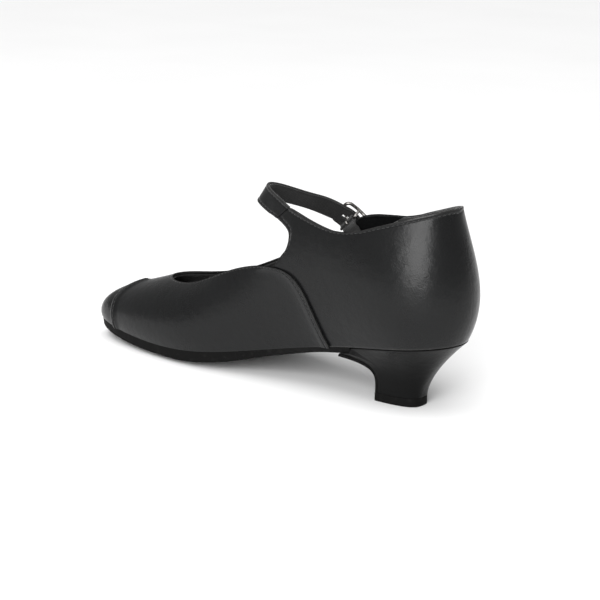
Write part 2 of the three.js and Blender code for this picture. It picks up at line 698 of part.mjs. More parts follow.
// Four rounded corners, with a point halfway along each rail between them.
function frameLoop() {
  const points = [];
  const place = (x, y) => {
    const arch = railLift + frameArch * (1 - (x / barSpacing) ** 2);
    points.push(new THREE.Vector3(x, y, arch));
  };
  for (const [sx, sy] of [[1, 1], [-1, 1], [-1, -1], [1, -1]]) {
    for (const turn of [0.15, 0.5, 0.85]) {
      const angle = ((sx === sy ? turn : 1 - turn) * Math.PI) / 2;
      const x = barSpacing - corner + corner * Math.cos(angle);
      const y = sideReach - corner + corner * Math.sin(angle);
      place(sx * x, sy * y);
    }
    if (sx === sy) place(0, sy * sideReach);
    else place(sx * barSpacing, 0);
  }
  return new THREE.CatmullRomCurve3(points, true, 'centripetal');
}
const rodAcross = (radius, length) => new THREE.CylinderGeometry(radius, radius, length, 12);
const leg = (y) =>
  new THREE.CylinderGeometry(barRadius, barRadius, railLift + frameArch, 10)
    .rotateX(Math.PI / 2)
    .translate(0, y, (railLift + frameArch) / 2);
let frameSolid = toSolid(new THREE.TubeGeometry(frameLoop(), 44, railRadius, 7, true));
for (const piece of [rodAcross(barRadius, 2 * sideReach), leg(sideReach), leg(-sideReach)]) {
  frameSolid = frameSolid.add(toSolid(piece));
}
const ringRadius = barRadius + 0.25 + prongRadius;
const prongRing = new THREE.TorusGeometry(ringRadius, prongRadius, 6, 14).rotateX(Math.PI / 2);
const overRail = railLift + railRadius + runGap + prongRadius;
const prongPath = new THREE.CatmullRomCurve3([
  new THREE.Vector3(-0.3, 0, 1.5),
  new THREE.Vector3(-0.4 * barSpacing, 0, 2.9),
  new THREE.Vector3(-barSpacing, 0, overRail),
  new THREE.Vector3(-barSpacing - 1.4, 0, overRail - 0.1),
]);
const round = new THREE.Shape().absarc(0, 0, prongRadius, 0, 2 * Math.PI);
const rodSweep = { steps: 8, curveSegments: 3, extrudePath: prongPath, bevelEnabled: false };
const prongRod = new THREE.ExtrudeGeometry(round, rodSweep);
function placed(name, solid, finish) {
  const mesh = fromSolid(name, solid, finish);
  seated(mesh.geometry);
  return mesh;
}
shoe.add(placed('buckle_frame', frameSolid, nickel()));
shoe.add(placed('buckle_prong', toSolid(prongRing).add(toSolid(prongRod)), nickel()));
const slotLength = barSpacing - 0.5;
const slotDepth = 9;
function slot() {
  const box = new THREE.BoxGeometry(slotLength, prongSlot, slotDepth);
  return seated(box.translate(-0.12 * barSpacing, 0, strapStack + 2));
}
shoe.add(cutFrom(strapLeather, [slot()]));
shoe.add(cutFrom(strapBacking, [slot()]));

// The tab loops round the bar and is sewn in under the outer quarter.
const loopInner = barRadius + runGap;
const loopOuter = loopInner + tabThickness;
const tabLoop = new THREE.Shape().absarc(0, 0, loopOuter, 0, 2 * Math.PI);
tabLoop.holes.push(new THREE.Path().absarc(0, 0, loopInner, 0, 2 * Math.PI));
const loopSolid = toSolid(
  new THREE.ExtrudeGeometry(tabLoop, { depth: tabWidth, curveSegments: 9, bevelEnabled: false })
    .translate(0, 0, -tabWidth / 2)
    .rotateX(Math.PI / 2),
);
const tabReach = 8; // from the bar to the tab's sewn end
const tabSlope = 0.17; // it falls with the quarter's inner face, along and across
const tabTilt = 0.145;
const tabDrop = tailLine + barLift + leather + 0.9; // to under the quarter, at its neck's tip
const tabBend = 3.1;
const tabRoot = 1.15; // where the leg leaves the loop
const rootDrop = 0.55;
function tabFace(depth) {
  return (u, v) => {
    const y = (u - 0.5) * tabWidth;
    const x = tabRoot + (tabReach - tabRoot) * v ** 1.5;
    const bend = ease(x, 0.8, tabBend);
    const onQuarter = tabTilt * y - tabDrop - tabSlope * (x - tabBend);
    return new THREE.Vector3(x, y, mix([-rootDrop], [onQuarter], bend)[0] - depth);
  };
}
const tabLeg = sheet('tab_leg', 4, 7, tabFace(0), tabFace(2 * tabThickness), textile());
const notchLength = 2 * loopOuter + 0.9;
const notch = new THREE.BoxGeometry(notchLength, prongSlot, 2 * loopOuter + 1).translate(-0.35, 0, 0.5);
const tabSolid = toSolid(tabLeg.geometry)
  .subtract(toSolid(rodAcross(loopInner, 2 * sideReach)))
  .add(loopSolid)
  .subtract(toSolid(notch));
shoe.add(placed('buckle_tab', tabSolid, textile()));

// ---- the part's frame: origin on the floor, under the middle of the shoe ----
const bounds = new THREE.Box3().setFromObject(shoe);
const middle = bounds.getCenter(new THREE.Vector3());
shoe.position.set(-middle.x, -middle.y, 0);
export default shoe;
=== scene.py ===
import math
import bpy
import numpy as np
from mathutils import Matrix, Vector


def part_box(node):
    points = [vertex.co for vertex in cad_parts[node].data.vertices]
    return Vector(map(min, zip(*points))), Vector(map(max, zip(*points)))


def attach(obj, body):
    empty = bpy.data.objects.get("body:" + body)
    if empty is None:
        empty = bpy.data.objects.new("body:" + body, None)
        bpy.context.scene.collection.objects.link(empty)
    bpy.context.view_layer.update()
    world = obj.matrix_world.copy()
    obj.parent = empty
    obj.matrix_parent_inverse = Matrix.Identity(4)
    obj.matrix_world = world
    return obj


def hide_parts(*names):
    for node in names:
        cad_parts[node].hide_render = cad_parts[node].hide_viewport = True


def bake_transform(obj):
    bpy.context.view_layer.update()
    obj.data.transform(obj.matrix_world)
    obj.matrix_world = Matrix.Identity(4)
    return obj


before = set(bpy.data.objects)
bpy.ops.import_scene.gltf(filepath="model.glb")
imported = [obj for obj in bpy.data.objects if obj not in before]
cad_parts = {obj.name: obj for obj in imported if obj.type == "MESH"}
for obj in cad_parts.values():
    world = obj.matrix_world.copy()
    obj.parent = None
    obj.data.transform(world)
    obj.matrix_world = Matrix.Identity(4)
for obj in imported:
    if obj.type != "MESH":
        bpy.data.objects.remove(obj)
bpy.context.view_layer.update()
mm = 0.001
print("frame loaded:", len(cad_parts), "nodes")

# the last's own frame starts at the back of the foot and is worked out from the heel's tip
heelTip = {"back": 31, "front": 52.4, "halfWidth": 10, "height": 4}
tipLow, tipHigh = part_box("top_piece")
lastOrigin = np.array([tipLow.x / mm - heelTip["back"], (tipLow.y + tipHigh.y) / 2 / mm, 0])

# the camera comes before the pieces
view = {
    "place": (-439.4, 715.9, 290.0),
    "look": (0.596, -0.760, -0.259),
    "up": (0.174, -0.193, 0.966),
    "lens": 106.8,
    "shift": (0.0273, -0.0234),
}


def makeCamera():
    bpy.ops.object.camera_add()
    camera = bpy.context.object
    look = Vector(view["look"]).normalized()
    right = look.cross(Vector(view["up"])).normalized()
    turn = Matrix((right, right.cross(look), -look)).transposed().to_4x4()
    place = Vector(view["place"]) + Vector(lastOrigin)
    camera.matrix_world = Matrix.Translation(place * mm) @ turn
    camera.data.lens = view["lens"]
    camera.data.shift_x, camera.data.shift_y = view["shift"]
    camera.data.clip_start, camera.data.clip_end = 0.05, 60
    bpy.context.scene.camera = camera


makeCamera()


# finishes
class Signal:
    # one output socket, so that shader maths is written as sums
    def __init__(self, finish, socket):
        self.finish = finish
        self.socket = socket

    def maths(self, operation, first, second):
        return self.finish.add("ShaderNodeMath", {"operation": operation}, {0: first, 1: second})

    def __add__(self, other):
        return self.maths("ADD", self, other)

    def __radd__(self, other):
        return self.maths("ADD", other, self)

    def __sub__(self, other):
        return self.maths("SUBTRACT", self, other)

    def __rsub__(self, other):
        return self.maths("SUBTRACT", other, self)

    def __mul__(self, other):
        return self.maths("MULTIPLY", self, other)

    def __rmul__(self, other):
        return self.maths("MULTIPLY", other, self)


class Finish:
    def __init__(self, name, **fixed):
        self.material = bpy.data.materials.new(name)
        self.material.use_nodes = True
        self.tree = self.material.node_tree
        self.shader = self.tree.nodes["Principled BSDF"]
        for socket, value in fixed.items():
            self.shader.inputs[socket.replace("_", " ")].default_value = value
        self.place = self.add("ShaderNodeTexCoord", output="Object")

    def add(self, kind, settings=None, sockets=None, output=0):
        node = self.tree.nodes.new(kind)
        for key, value in (settings or {}).items():
            setattr(node, key, value)
        for key, value in (sockets or {}).items():
            self.feed(node.inputs[key], value)
        return Signal(self, node.outputs[output])

    def feed(self, socket, value):
        if isinstance(value, Signal):
            self.tree.links.new(value.socket, socket)
        else:
            socket.default_value = value

    def noise(self, scale, detail=2, at=None):
        sockets = {"Vector": at or self.place, "Scale": scale, "Detail": detail}
        return self.add("ShaderNodeTexNoise", None, sockets, "Fac")

    def cells(self, scale, feature="F1", at=None):
        sockets = {"Vector": at or self.place, "Scale": scale}
        return self.add("ShaderNodeTexVoronoi", {"feature": feature}, sockets, "Distance")

    def between(self, value, low, high, start=0.0, end=1.0):
        sockets = {"Value": value, 1: low, 2: high, 3: start, 4: end}
        return self.add("ShaderNodeMapRange", {"interpolation_type": "SMOOTHSTEP"}, sockets)

    def colours(self, share, first, second):
        sockets = {0: share, 6: first, 7: second}
        return self.add("ShaderNodeMix", {"data_type": "RGBA"}, sockets, 2)

    def attribute(self, name):
        return self.add("ShaderNodeAttribute", {"attribute_name": name}, None, "Fac")

    def stretched(self, source, scale):
        sockets = {"Vector": source, "Scale": scale}
        return self.add("ShaderNodeMapping", None, sockets)

    def bands(self, direction, scale):
        at = self.add("ShaderNodeUVMap", {"uv_map": "UVMap"})
        sockets = {"Vector": at, "Scale": scale}
        return self.add("ShaderNodeTexWave", {"bands_direction": direction}, sockets, "Fac")

    def bump(self, height, distance, under=None):
        sockets = {"Height": height, "Distance": distance, "Strength": 1.0}
        if under:
            sockets["Normal"] = under
        return self.add("ShaderNodeBump", None, sockets, "Normal")

    def show(self, **fed):
        for socket, value in fed.items():
            self.feed(self.shader.inputs[socket.replace("_", " ")], value)
        return self.material


def grey(value, warmth=0.0):
    return (value * (1 + warmth), value, value * (1 - warmth), 1)


def smoothLeather(name, dark, pale, roughness, gloss=0.3):
    finish = Finish(name, Specular_IOR_Level=gloss)
    mottle = finish.noise(38, 3)
    pores = finish.cells(1500)
    fibre = finish.noise(2600, 2)
    creases = finish.noise(210, 4)
    rub = finish.between(finish.attribute("rim"), 0.0, 1.3, 1.0, 0.0) * finish.noise(420, 2)
    base = finish.colours(mottle, grey(dark, -0.03), grey(pale, -0.04))
    coloured = finish.colours(rub, base, grey(0.035, 0.02))
    wide = finish.bump(creases, 0.00022)
    grain = finish.bump(pores * 0.7 + fibre * 0.5, 0.00005, wide)
    rough = roughness + mottle * 0.12 + fibre * 0.05 - rub * 0.08
    return finish.show(Base_Color=coloured, Roughness=rough, Normal=grain)


def wovenLining(name):
    finish = Finish(name, Specular_IOR_Level=0.25, Sheen_Weight=0.25, Sheen_Roughness=0.5)
    weave = finish.bands("X", 0.42) * finish.bands("Y", 0.42)
    fluff = finish.noise(900, 3)
    base = finish.colours(weave * 0.6 + fluff * 0.4, grey(0.0025), grey(0.009, 0.03))
    normal = finish.bump(weave + fluff * 0.4, 0.00012)
    return finish.show(Base_Color=base, Roughness=0.82 + fluff * 0.15, Normal=normal)


def ribbedElastic(name):
    finish = Finish(name, Specular_IOR_Level=0.35, Sheen_Weight=0.15)
    ribs = finish.bands("X", 0.5)
    thread = ribs * 0.7 + finish.bands("Y", 0.9) * 0.3
    base = finish.colours(thread, grey(0.004), grey(0.02))
    return finish.show(Base_Color=base, Roughness=0.55 + ribs * 0.2, Normal=finish.bump(thread, 0.00025))


def mattRubber(name):
    finish = Finish(name, Specular_IOR_Level=0.1)
    mottle = finish.noise(90, 4)
    grit = finish.noise(1900, 2)
    scuff = finish.between(finish.noise(260, 5), 0.56, 0.7)
    base = finish.colours(mottle, grey(0.0015), grey(0.004, 0.03))
    worn = finish.colours(scuff * 0.3, base, grey(0.02, 0.03))
    normal = finish.bump(grit + mottle * 0.5, 0.00008)
    return finish.show(Base_Color=worn, Roughness=0.6 + mottle * 0.2 + scuff * 0.1, Normal=normal)


def agedNickel(name):
    finish = Finish(name, Metallic=1.0)
    patina = finish.noise(700, 4)
    brushed = finish.noise(1.0, 3, finish.stretched(finish.place, (900, 900, 9000)))
    base = finish.colours(finish.between(patina, 0.35, 0.65), grey(0.1, 0.05), grey(0.3, 0.04))
    normal = finish.bump(brushed, 0.00001)
    return finish.show(Base_Color=base, Roughness=0.22 + patina * 0.22, Normal=normal)


def spunThread(name):
    finish = Finish(name, Specular_IOR_Level=0.4, Sheen_Weight=0.2)
    twist = finish.noise(5200, 2)
    base = finish.colours(twist, grey(0.005), grey(0.018))
    return finish.show(Base_Color=base, Roughness=0.5 + twist * 0.2, Normal=finish.bump(twist, 0.00004))


def plainInside(name, dark, pale, scale, metallic=0.0, roughness=0.7, depth=0.0001):
    finish = Finish(name, Metallic=metallic)
    grain = finish.noise(scale, 5)
    base = finish.colours(finish.between(grain, 0.35, 0.65), dark, pale)
    normal = finish.bump(grain, depth)
    return finish.show(Base_Color=base, Roughness=roughness + grain * 0.15, Normal=normal)


finishes = {
    "leather": smoothLeather("upperLeather", 0.004, 0.0065, 0.2, 0.22),
    "capLeather": smoothLeather("capLeather", 0.002, 0.0035, 0.16, 0.14),
    "strapLeather": smoothLeather("strapLeather", 0.004, 0.0065, 0.2, 0.22),
    # the heel's leather is the upper's leather with a darker base colour: painted shade, because the heel
    # stands lower and gets less light
    "shadedHeelLeather": smoothLeather("shadedHeelLeather", 0.0015, 0.0025, 0.16, 0.12),
    "sock": smoothLeather("sockLeather", 0.006, 0.01, 0.5),
    "lining": wovenLining("textileLining"),
    "elastic": ribbedElastic("ribbedElastic"),
    "rubber": mattRubber("mattRubber"),
    "nickel": agedNickel("agedNickel"),
    "thread": spunThread("spunThread"),
    "board": plainInside("celluloseBoard", (0.3, 0.2, 0.11, 1), (0.22, 0.14, 0.07, 1), 900),
    "cork": plainInside("granulatedCork", (0.34, 0.21, 0.1, 1), (0.16, 0.09, 0.04, 1), 420, depth=0.0004),
    "plastic": plainInside("mouldedPlastic", grey(0.02), grey(0.03), 1200, roughness=0.45),
    "steel": plainInside("plainSteel", grey(0.3), grey(0.42), 1500, metallic=1.0, roughness=0.3),
}
hiddenNodes = {
    "board": ["toe_puff", "heel_counter", "insole_board"],
    "cork": ["bottom_filler"],
    "plastic": ["heel_block"],
    "steel": ["shank", "heel_screw", *[f"heel_nail_{k}" for k in (1, 2, 3, 4)],
              "top_piece_pin_1", "top_piece_pin_2"],
}
for finishName, nodeNames in hiddenNodes.items():
    for nodeName in nodeNames:
        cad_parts[nodeName].data.materials.clear()
        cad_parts[nodeName].data.materials.append(finishes[finishName])
print("finishes made:", len(finishes))


# the last: the same surface that the solids are built on, in its own frame and in mm
last = {
    "length": 243.3,
    "ball": 67,
    "seat": 36.7,
    "peak": 118,
    "toeSwing": 5.5,
    "swingFrom": 0.6,
    "swingOver": 0.31,
    "tread": 7.8,
    "crestShift": (3.5, 5),
    "crestSlope": (-1.3, 0.5),
    "ridge": (0.93, 1.0),
    "nearRidge": 0.97,
}
sections = np.array([
    # along inner outer climb  crestAlong crest crestInner lean rise reach droop
    [1.0, 0.119, -0.119, 0.134, 0.917, 0.264, 0, 15, 8.5, 12.5, 0],
    [0.986, 0.239, -0.008, 0.117, 0.905, 0.274, 0, 17, 9.5, 13, 0],
    [0.917, 0.358, 0.202, 0.055, 0.862, 0.303, 0, 22, 13, 15, 0],
    [0.794, 0.44, 0.403, 0, 0.776, 0.365, 0, 24, 17, 20, 0],
    [0.642, 0.448, 0.552, 0.062, 0.658, 0.489, 0, 22, 22, 24, 4],
    [0.47, 0.328, 0.478, 0.338, 0.526, 0.77, 0, 22, 32, 24, 10],
    [0.282, 0.306, 0.388, 0.69, 0.347, 1, 0.179, 24, 34, 30, 60],
    [0.114, 0.328, 0.336, 0.931, 0.142, 0.974, 0.224, 26, 30, 30, 78],
    [0.038, 0, 0, 1, 0.069, 0.96, 0, 25, 29, 27, 82],
])
back = len(sections) - 1
upward = np.array([0, 0, 1.0])


def ease(value, low, high):
    share = np.clip((np.asarray(value, float) - low) / (high - low), 0, 1)
    return share * share * (3 - 2 * share)


def unit(vectors):
    return vectors / np.maximum(np.linalg.norm(vectors, axis=-1, keepdims=True), 1e-12)


def smoothCurve(points, closed=False):
    # a cubic spline through points of any dimension, one unit of t from each to the next
    points = np.array(points, float)
    count = len(points)
    pull = np.zeros((count, count))
    for k in range(count):
        pull[k, k] = 4 / 6
        if closed:
            pull[k, (k - 1) % count] += 1 / 6
            pull[k, (k + 1) % count] += 1 / 6
        elif k in (0, count - 1):
            pull[k, k] = 1
        else:
            pull[k, k - 1] = pull[k, k + 1] = 1 / 6
    hull = np.linalg.solve(pull, points)
    if closed:
        longHull = np.concatenate([hull[-1:], hull, hull[:2]])
    else:
        longHull = np.concatenate([2 * hull[:1] - hull[1:2], hull, 2 * hull[-1:] - hull[-2:-1]])

    def at(t):
        t = np.asarray(t, float)
        if closed:
            t = t % count
            k = np.floor(t).astype(int) % count
        else:
            k = np.clip(np.floor(t).astype(int), 0, count - 2)
        f = (t - k)[..., None]
        weights = [(1 - f) ** 3, 3 * f**3 - 6 * f**2 + 4, -3 * f**3 + 3 * f**2 + 3 * f + 1, f**3]
        return sum(weight * longHull[k + j] / 6 for j, weight in enumerate(weights))

    return at


def bothSides(row):
    inner = [row(1, s) for s in sections]
    outer = [row(-1, s) for s in sections[-2:0:-1]]
    return smoothCurve(inner + outer, closed=True)


def featherRow(side, s):
    height = last["tread"] + (last["seat"] - last["tread"]) * s[3]
    return [s[0] * last["length"], (s[1] if side > 0 else -s[2]) * last["ball"], height]


def crestRow(side, s):
    return [s[4] * last["length"], side * s[6] * last["ball"], s[5] * last["peak"]]


feather = bothSides(featherRow)
crestLoop = bothSides(crestRow)
shaping = bothSides(lambda side, s: s[7:])
crestLine = smoothCurve([[s[4] * last["length"], s[5] * last["peak"]] for s in sections])


def around(side, p):
    return np.where(np.asarray(side) > 0, p, 2 * back - np.asarray(p))


def crest(side, p):
    points = crestLoop(around(side, p))
    swing = np.clip((points[..., 0] / last["length"] - last["swingFrom"]) / last["swingOver"], 0, 1) ** 1.2
    points[..., 1] = points[..., 1] * ease(p, *last["crestShift"]) + last["toeSwing"] * swing
    return points


def outward(t):
    along = feather(t + 1e-3) - feather(t - 1e-3)
    return unit(np.stack([along[..., 1], -along[..., 0], 0 * along[..., 0]], axis=-1))


def lastPoint(side, p, q):
    side, p, q = np.broadcast_arrays(np.asarray(side, float), np.asarray(p, float), np.asarray(q, float))
    t = around(side, p)
    foot = feather(t)
    top = crest(side, p)
    shape = shaping(t)
    lean, rise, reach, droop = (shape[..., k : k + 1] for k in range(4))
    lean, droop = np.radians(lean), np.radians(droop)
    out = outward(t)
    near = np.clip(p, 1e-3, back - 1e-3)
    step = crestLine(near + 1e-3) - crestLine(near - 1e-3)
    slope = np.clip(step[..., 1:] / step[..., :1], *last["crestSlope"])
    low = foot + out * rise * np.sin(lean) + upward * rise * np.cos(lean)
    high = top + out * reach * np.cos(droop)
    high = high + upward * reach * (out[..., :1] * slope * np.cos(droop) - np.sin(droop))
    b = q[..., None]
    a = 1 - b
    return a**3 * foot + 3 * a**2 * b * low + 3 * a * b**2 * high + b**3 * top


def sideNormal(side, p, q):
    d = 1e-3
    along = lastPoint(side, p + d, q) - lastPoint(side, p - d, q)
    up = lastPoint(side, p, q + d) - lastPoint(side, p, q - d)
    return unit(np.cross(along, up)) * np.asarray(side, float)[..., None]


def lastNormal(side, p, q):
    # over the crest both sides share one direction
    own = sideNormal(side, p, np.minimum(q, 0.985))
    near = 0 * p + last["nearRidge"]
    ridge = unit(sideNormal(np.ones_like(p), p, near) + sideNormal(-np.ones_like(p), p, near))
    return unit(own + (ridge - own) * ease(q, *last["ridge"])[..., None])


# panel edges, as [p, q] on the last
def edgeLine(*runs):
    curves = [(upTo, smoothCurve(points), len(points) - 1) for upTo, points in runs]

    def at(u):
        u = np.clip(np.asarray(u, float), 0, 1)
        found = np.zeros(u.shape + (2,))
        left = np.ones(u.shape, bool)
        start = 0.0
        for upTo, curve, spans in curves:
            here = left & (u <= upTo + 1e-9)
            share = np.clip((u - start) / (upTo - start), 0, 1)
            found[here] = curve(share[here] * spans)
            left &= ~here
            start = upTo
        return found

    return at


seamFoot, lobe, throat = [5.85, 0], [5.23, 0.442], [2.75, 1]
capSeam = edgeLine((1, [[2.05, 0], [2.0, 0.14], [1.9, 0.28], [1.77, 0.41],
                        [1.63, 0.56], [1.51, 0.71], [1.44, 0.86], [1.41, 1]]))
quarterSeam = [seamFoot, [5.8, 0.09], [5.73, 0.22], [5.64, 0.33], [5.48, 0.405], lobe]
wave = [[4.83, 0.487], [4.33, 0.563], [3.87, 0.638], [3.31, 0.734], [2.93, 0.87]]
seamShare = 1 / 3
vampRear = edgeLine((seamShare, quarterSeam), (1, [lobe, *wave, throat]))
featherRun = [[back, 0], [7.2, 0], [6.5, 0], seamFoot]
strapSeam = {"low": [5.29, 0.719], "high": [5.51, 0.769]}
neckEnd = {"low": [5.34, 0.497], "high": [5.61, 0.58]}
seamStart, neckStart = 12 / 26, 17 / 26
neckFront = [lobe, [5.38, 0.49], [5.49, 0.54], [5.535, 0.6], [5.48, 0.65], strapSeam["low"]]
innerBottom = edgeLine((seamStart, featherRun), (neckStart, quarterSeam), (1, neckFront))
outerBottom = edgeLine((seamStart, featherRun), (neckStart, quarterSeam),
                       (1, [lobe, [5.28, 0.468], neckEnd["low"]]))
toplineDip = [6.54, 0.693]
heelTopline = [[back, 0.88], [7.7, 0.884], [7.24, 0.854], [6.86, 0.779], toplineDip]
innerTopline = edgeLine((0.5, heelTopline),
                        (1, [toplineDip, [6.3, 0.648], [6.08, 0.653], [5.81, 0.698], strapSeam["high"]]))
outerTopline = edgeLine((0.5, heelTopline),
                        (1, [toplineDip, [6.32, 0.652], [6.08, 0.638], [5.82, 0.622], neckEnd["high"]]))


def shifted(edge, dp):
    return lambda u: edge(u) + np.array([dp, 0.0])


def hood(rear, low=0.0):
    def at(u, v):
        a = 2 * u - 1
        q = low + (1 - low) * v
        spot = np.stack([0 * q, q], axis=-1)
        spot = spot + (rear(q) - spot) * np.abs(a)[..., None]
        return np.where(a < 0, -1.0, 1.0), spot[..., 0], spot[..., 1]

    return at


def saddle(front, rear):
    def at(u, v):
        a = 2 * u - 1
        w = 1 - np.abs(a)
        spot = front(w) + (rear(w) - front(w)) * v[..., None]
        return np.where(a < 0, -1.0, 1.0), spot[..., 0], spot[..., 1]

    return at


def flank(side, bottom, top):
    def at(u, v):
        spot = bottom(u) + (top(u) - bottom(u)) * v[..., None]
        return np.full(u.shape, float(side)), spot[..., 0], spot[..., 1]

    return at


# mesh helpers
def startFresh():
    if bpy.context.object and bpy.context.object.mode != "OBJECT":
        bpy.ops.object.mode_set(mode="OBJECT")
    bpy.ops.object.select_all(action="DESELECT")


def choose(piece):
    startFresh()
    piece.select_set(True)
    bpy.context.view_layer.objects.active = piece


def fitModifier(piece, kind, **settings):
    choose(piece)
    modifier = piece.modifiers.new(kind.lower(), kind)
    for key, value in settings.items():
        setattr(modifier, key, value)
    bpy.ops.object.modifier_apply(modifier=modifier.name)


def cleanShell(piece, closed):
    choose(piece)
    bpy.ops.object.mode_set(mode="EDIT")
    bpy.ops.mesh.select_all(action="SELECT")
    bpy.ops.mesh.remove_doubles(threshold=0.00001)
    if closed:
        bpy.ops.mesh.normals_make_consistent(inside=False)
    bpy.ops.object.mode_set(mode="OBJECT")


def punch(piece, cutters):
    for cutter in cutters:
        fitModifier(piece, "BOOLEAN", operation="DIFFERENCE", object=cutter, solver="EXACT")
        bpy.data.objects.remove(cutter)


def smoothShade(piece, angle=38):
    choose(piece)
    bpy.ops.object.shade_smooth_by_angle(angle=math.radians(angle))


def dress(piece, finish, body, slot, *nodes):
    piece.data.materials.clear()
    piece.data.materials.append(finishes[finish])
    if nodes:
        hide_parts(*nodes)
    if body:
        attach(piece, body)


def lengthsAlong(path):
    return np.concatenate([[0], np.cumsum(np.linalg.norm(np.diff(path, axis=0), axis=1))])


def layGrid(name, points, measures):
    # a grid primitive, laid over a surface: points and measures are arrays of columns by rows
    columns, rows = points.shape[0] - 1, points.shape[1] - 1
    startFresh()
    bpy.ops.mesh.primitive_grid_add(x_subdivisions=columns, y_subdivisions=rows, size=1)
    piece = bpy.context.object
    piece.name = piece.data.name = name
    laid = (np.swapaxes(points, 0, 1).reshape(-1, 3) + lastOrigin) * mm
    piece.data.vertices.foreach_set("co", laid.ravel())
    flat = {key: np.swapaxes(value, 0, 1).ravel() for key, value in measures.items()}
    rim = piece.data.attributes.new("rim", "FLOAT", "POINT")
    rim.data.foreach_set("value", flat["rim"])
    corners = np.zeros(len(piece.data.loops), int)
    piece.data.loops.foreach_get("vertex_index", corners)
    uvs = np.stack([flat["run"][corners], flat["rise"][corners]], axis=-1)
    piece.data.uv_layers[0].data.foreach_set("uv", uvs.ravel())
    return piece


farFromRim = 5.0


def slab(name, lower, upper, bevel, segments=2, edges=45, rims=None):
    # a grid, thickened to a closed block, with each of its two faces laid over its own points
    columns, rows = lower.shape[0] - 1, lower.shape[1] - 1
    startFresh()
    bpy.ops.mesh.primitive_grid_add(x_subdivisions=columns, y_subdivisions=rows, size=1)
    piece = bpy.context.object
    piece.name = piece.data.name = name
    bpy.ops.object.mode_set(mode="EDIT")
    bpy.ops.mesh.select_all(action="SELECT")
    bpy.ops.mesh.extrude_region_move(TRANSFORM_OT_translate={"value": (0, 0, 1)})
    bpy.ops.object.mode_set(mode="OBJECT")
    count = len(piece.data.vertices)
    unitPlaces = np.zeros(count * 3)
    piece.data.vertices.foreach_get("co", unitPlaces)
    unitPlaces = unitPlaces.reshape(-1, 3)
    i = np.rint((unitPlaces[:, 0] + 0.5) * columns).astype(int)
    j = np.rint((unitPlaces[:, 1] + 0.5) * rows).astype(int)
    onTop = unitPlaces[:, 2:] > 0.5
    places = np.where(onTop, upper[i, j], lower[i, j])
    piece.data.vertices.foreach_set("co", ((places + lastOrigin) * mm).ravel())
    runs, rises = lengthsAlong(upper[:, rows // 2]), lengthsAlong(upper[columns // 2])
    corners = np.zeros(len(piece.data.loops), int)
    piece.data.loops.foreach_get("vertex_index", corners)
    uvs = np.stack([runs[i][corners], rises[j][corners]], axis=-1)
    piece.data.uv_layers[0].data.foreach_set("uv", uvs.ravel())
    rim = piece.data.attributes.new("rim", "FLOAT", "POINT")
    rim.data.foreach_set("value", np.full(count, farFromRim) if rims is None else rims[i, j])
    cleanShell(piece, True)
    if bevel:
        fitModifier(piece, "BEVEL", width=bevel * mm, segments=segments, limit_method="ANGLE",
                    angle_limit=math.radians(edges), use_clamp_overlap=True)
    smoothShade(piece)
    return piece


fineEdge = np.array([0, 0.3, 0.6, 0.9, 1.2, 1.5, 1.75, 1.95, 2.15, 2.35, 2.6, 3.0, 3.6, 4.4, 5.4, 6.6])
plainEdge = np.array([0, 1.0, 2.0, 3.0])


def layRows(spot, columnPlaces, startSteps, endSteps, middleRows):
    # rows at set distances from both edges, and evenly spread between them
    samples = np.linspace(0, 1, 81)
    u, v = np.meshgrid(columnPlaces, samples, indexing="ij")
    steps = np.linalg.norm(np.diff(lastPoint(*spot(u, v)), axis=1), axis=-1)
    run = np.concatenate([np.zeros((len(columnPlaces), 1)), np.cumsum(steps, axis=1)], axis=1)
    length = run[:, -1:]
    ends = startSteps[-1] + endSteps[-1]
    scale = np.minimum(1, 0.85 * length / ends)
    middle = np.linspace(0, 1, middleRows + 2)[1:-1]
    wanted = np.concatenate([
        startSteps * scale,
        startSteps[-1] * scale + (length - ends * scale) * middle,
        length - endSteps[::-1] * scale,
    ], axis=1)
    shares = np.array([np.interp(wanted[k], run[k], samples) for k in range(len(columnPlaces))])
    u = np.repeat(np.asarray(columnPlaces)[:, None], shares.shape[1], axis=1)
    return u, shares, wanted, length - wanted


def rimShape(distance, roll, groove, at=2.0):
    # a folded edge stands proud, and its row of stitches pulls a groove behind it
    return roll * np.exp(-((distance - 0.8) / 0.8) ** 2) - groove * np.exp(-((distance - at) / 0.38) ** 2)


def skin(name, settings, spot, liftAt):
    columnPlaces = np.linspace(0, 1, settings["columns"] + 1)
    edges = settings["start"], settings["end"]
    u, v, fromStart, fromEnd = layRows(spot, columnPlaces, *edges, settings["rows"])
    side, p, q = spot(u, v)
    normals = lastNormal(side, p, q)
    points = lastPoint(side, p, q) + normals * liftAt(u, fromStart, fromEnd, side, p)[..., None]
    across = np.cross(points[1:, :-1] - points[:-1, :-1], points[:-1, 1:] - points[:-1, :-1])
    facing = np.median((unit(across) * normals[:-1, :-1]).sum(-1))
    runs = lengthsAlong(points[:, points.shape[1] // 2])
    # a panel that has no open edge has its rims moved away
    rim = np.minimum(fromStart, fromEnd) + settings.get("rimsAway", 0)
    measures = {"rim": rim, "run": np.repeat(runs[:, None], points.shape[1], axis=1), "rise": fromStart}
    if facing < 0:
        points = points[::-1]
        measures = {key: value[::-1] for key, value in measures.items()}
    piece = layGrid(name, points, measures)
    cleanShell(piece, False)
    fitModifier(piece, "SOLIDIFY", thickness=settings["thick"] * mm, offset=-1, use_even_offset=False)
    fitModifier(piece, "BEVEL", width=settings["round"] * mm, segments=3, limit_method="ANGLE",
                angle_limit=math.radians(50), use_clamp_overlap=True)
    smoothShade(piece, 50)
    return piece


# one stitch is modelled, and each row is copies of it
stitch = {"length": 2.0, "pitch": 2.6, "radius": 0.2, "sink": 0.04, "turnDown": 0.22}


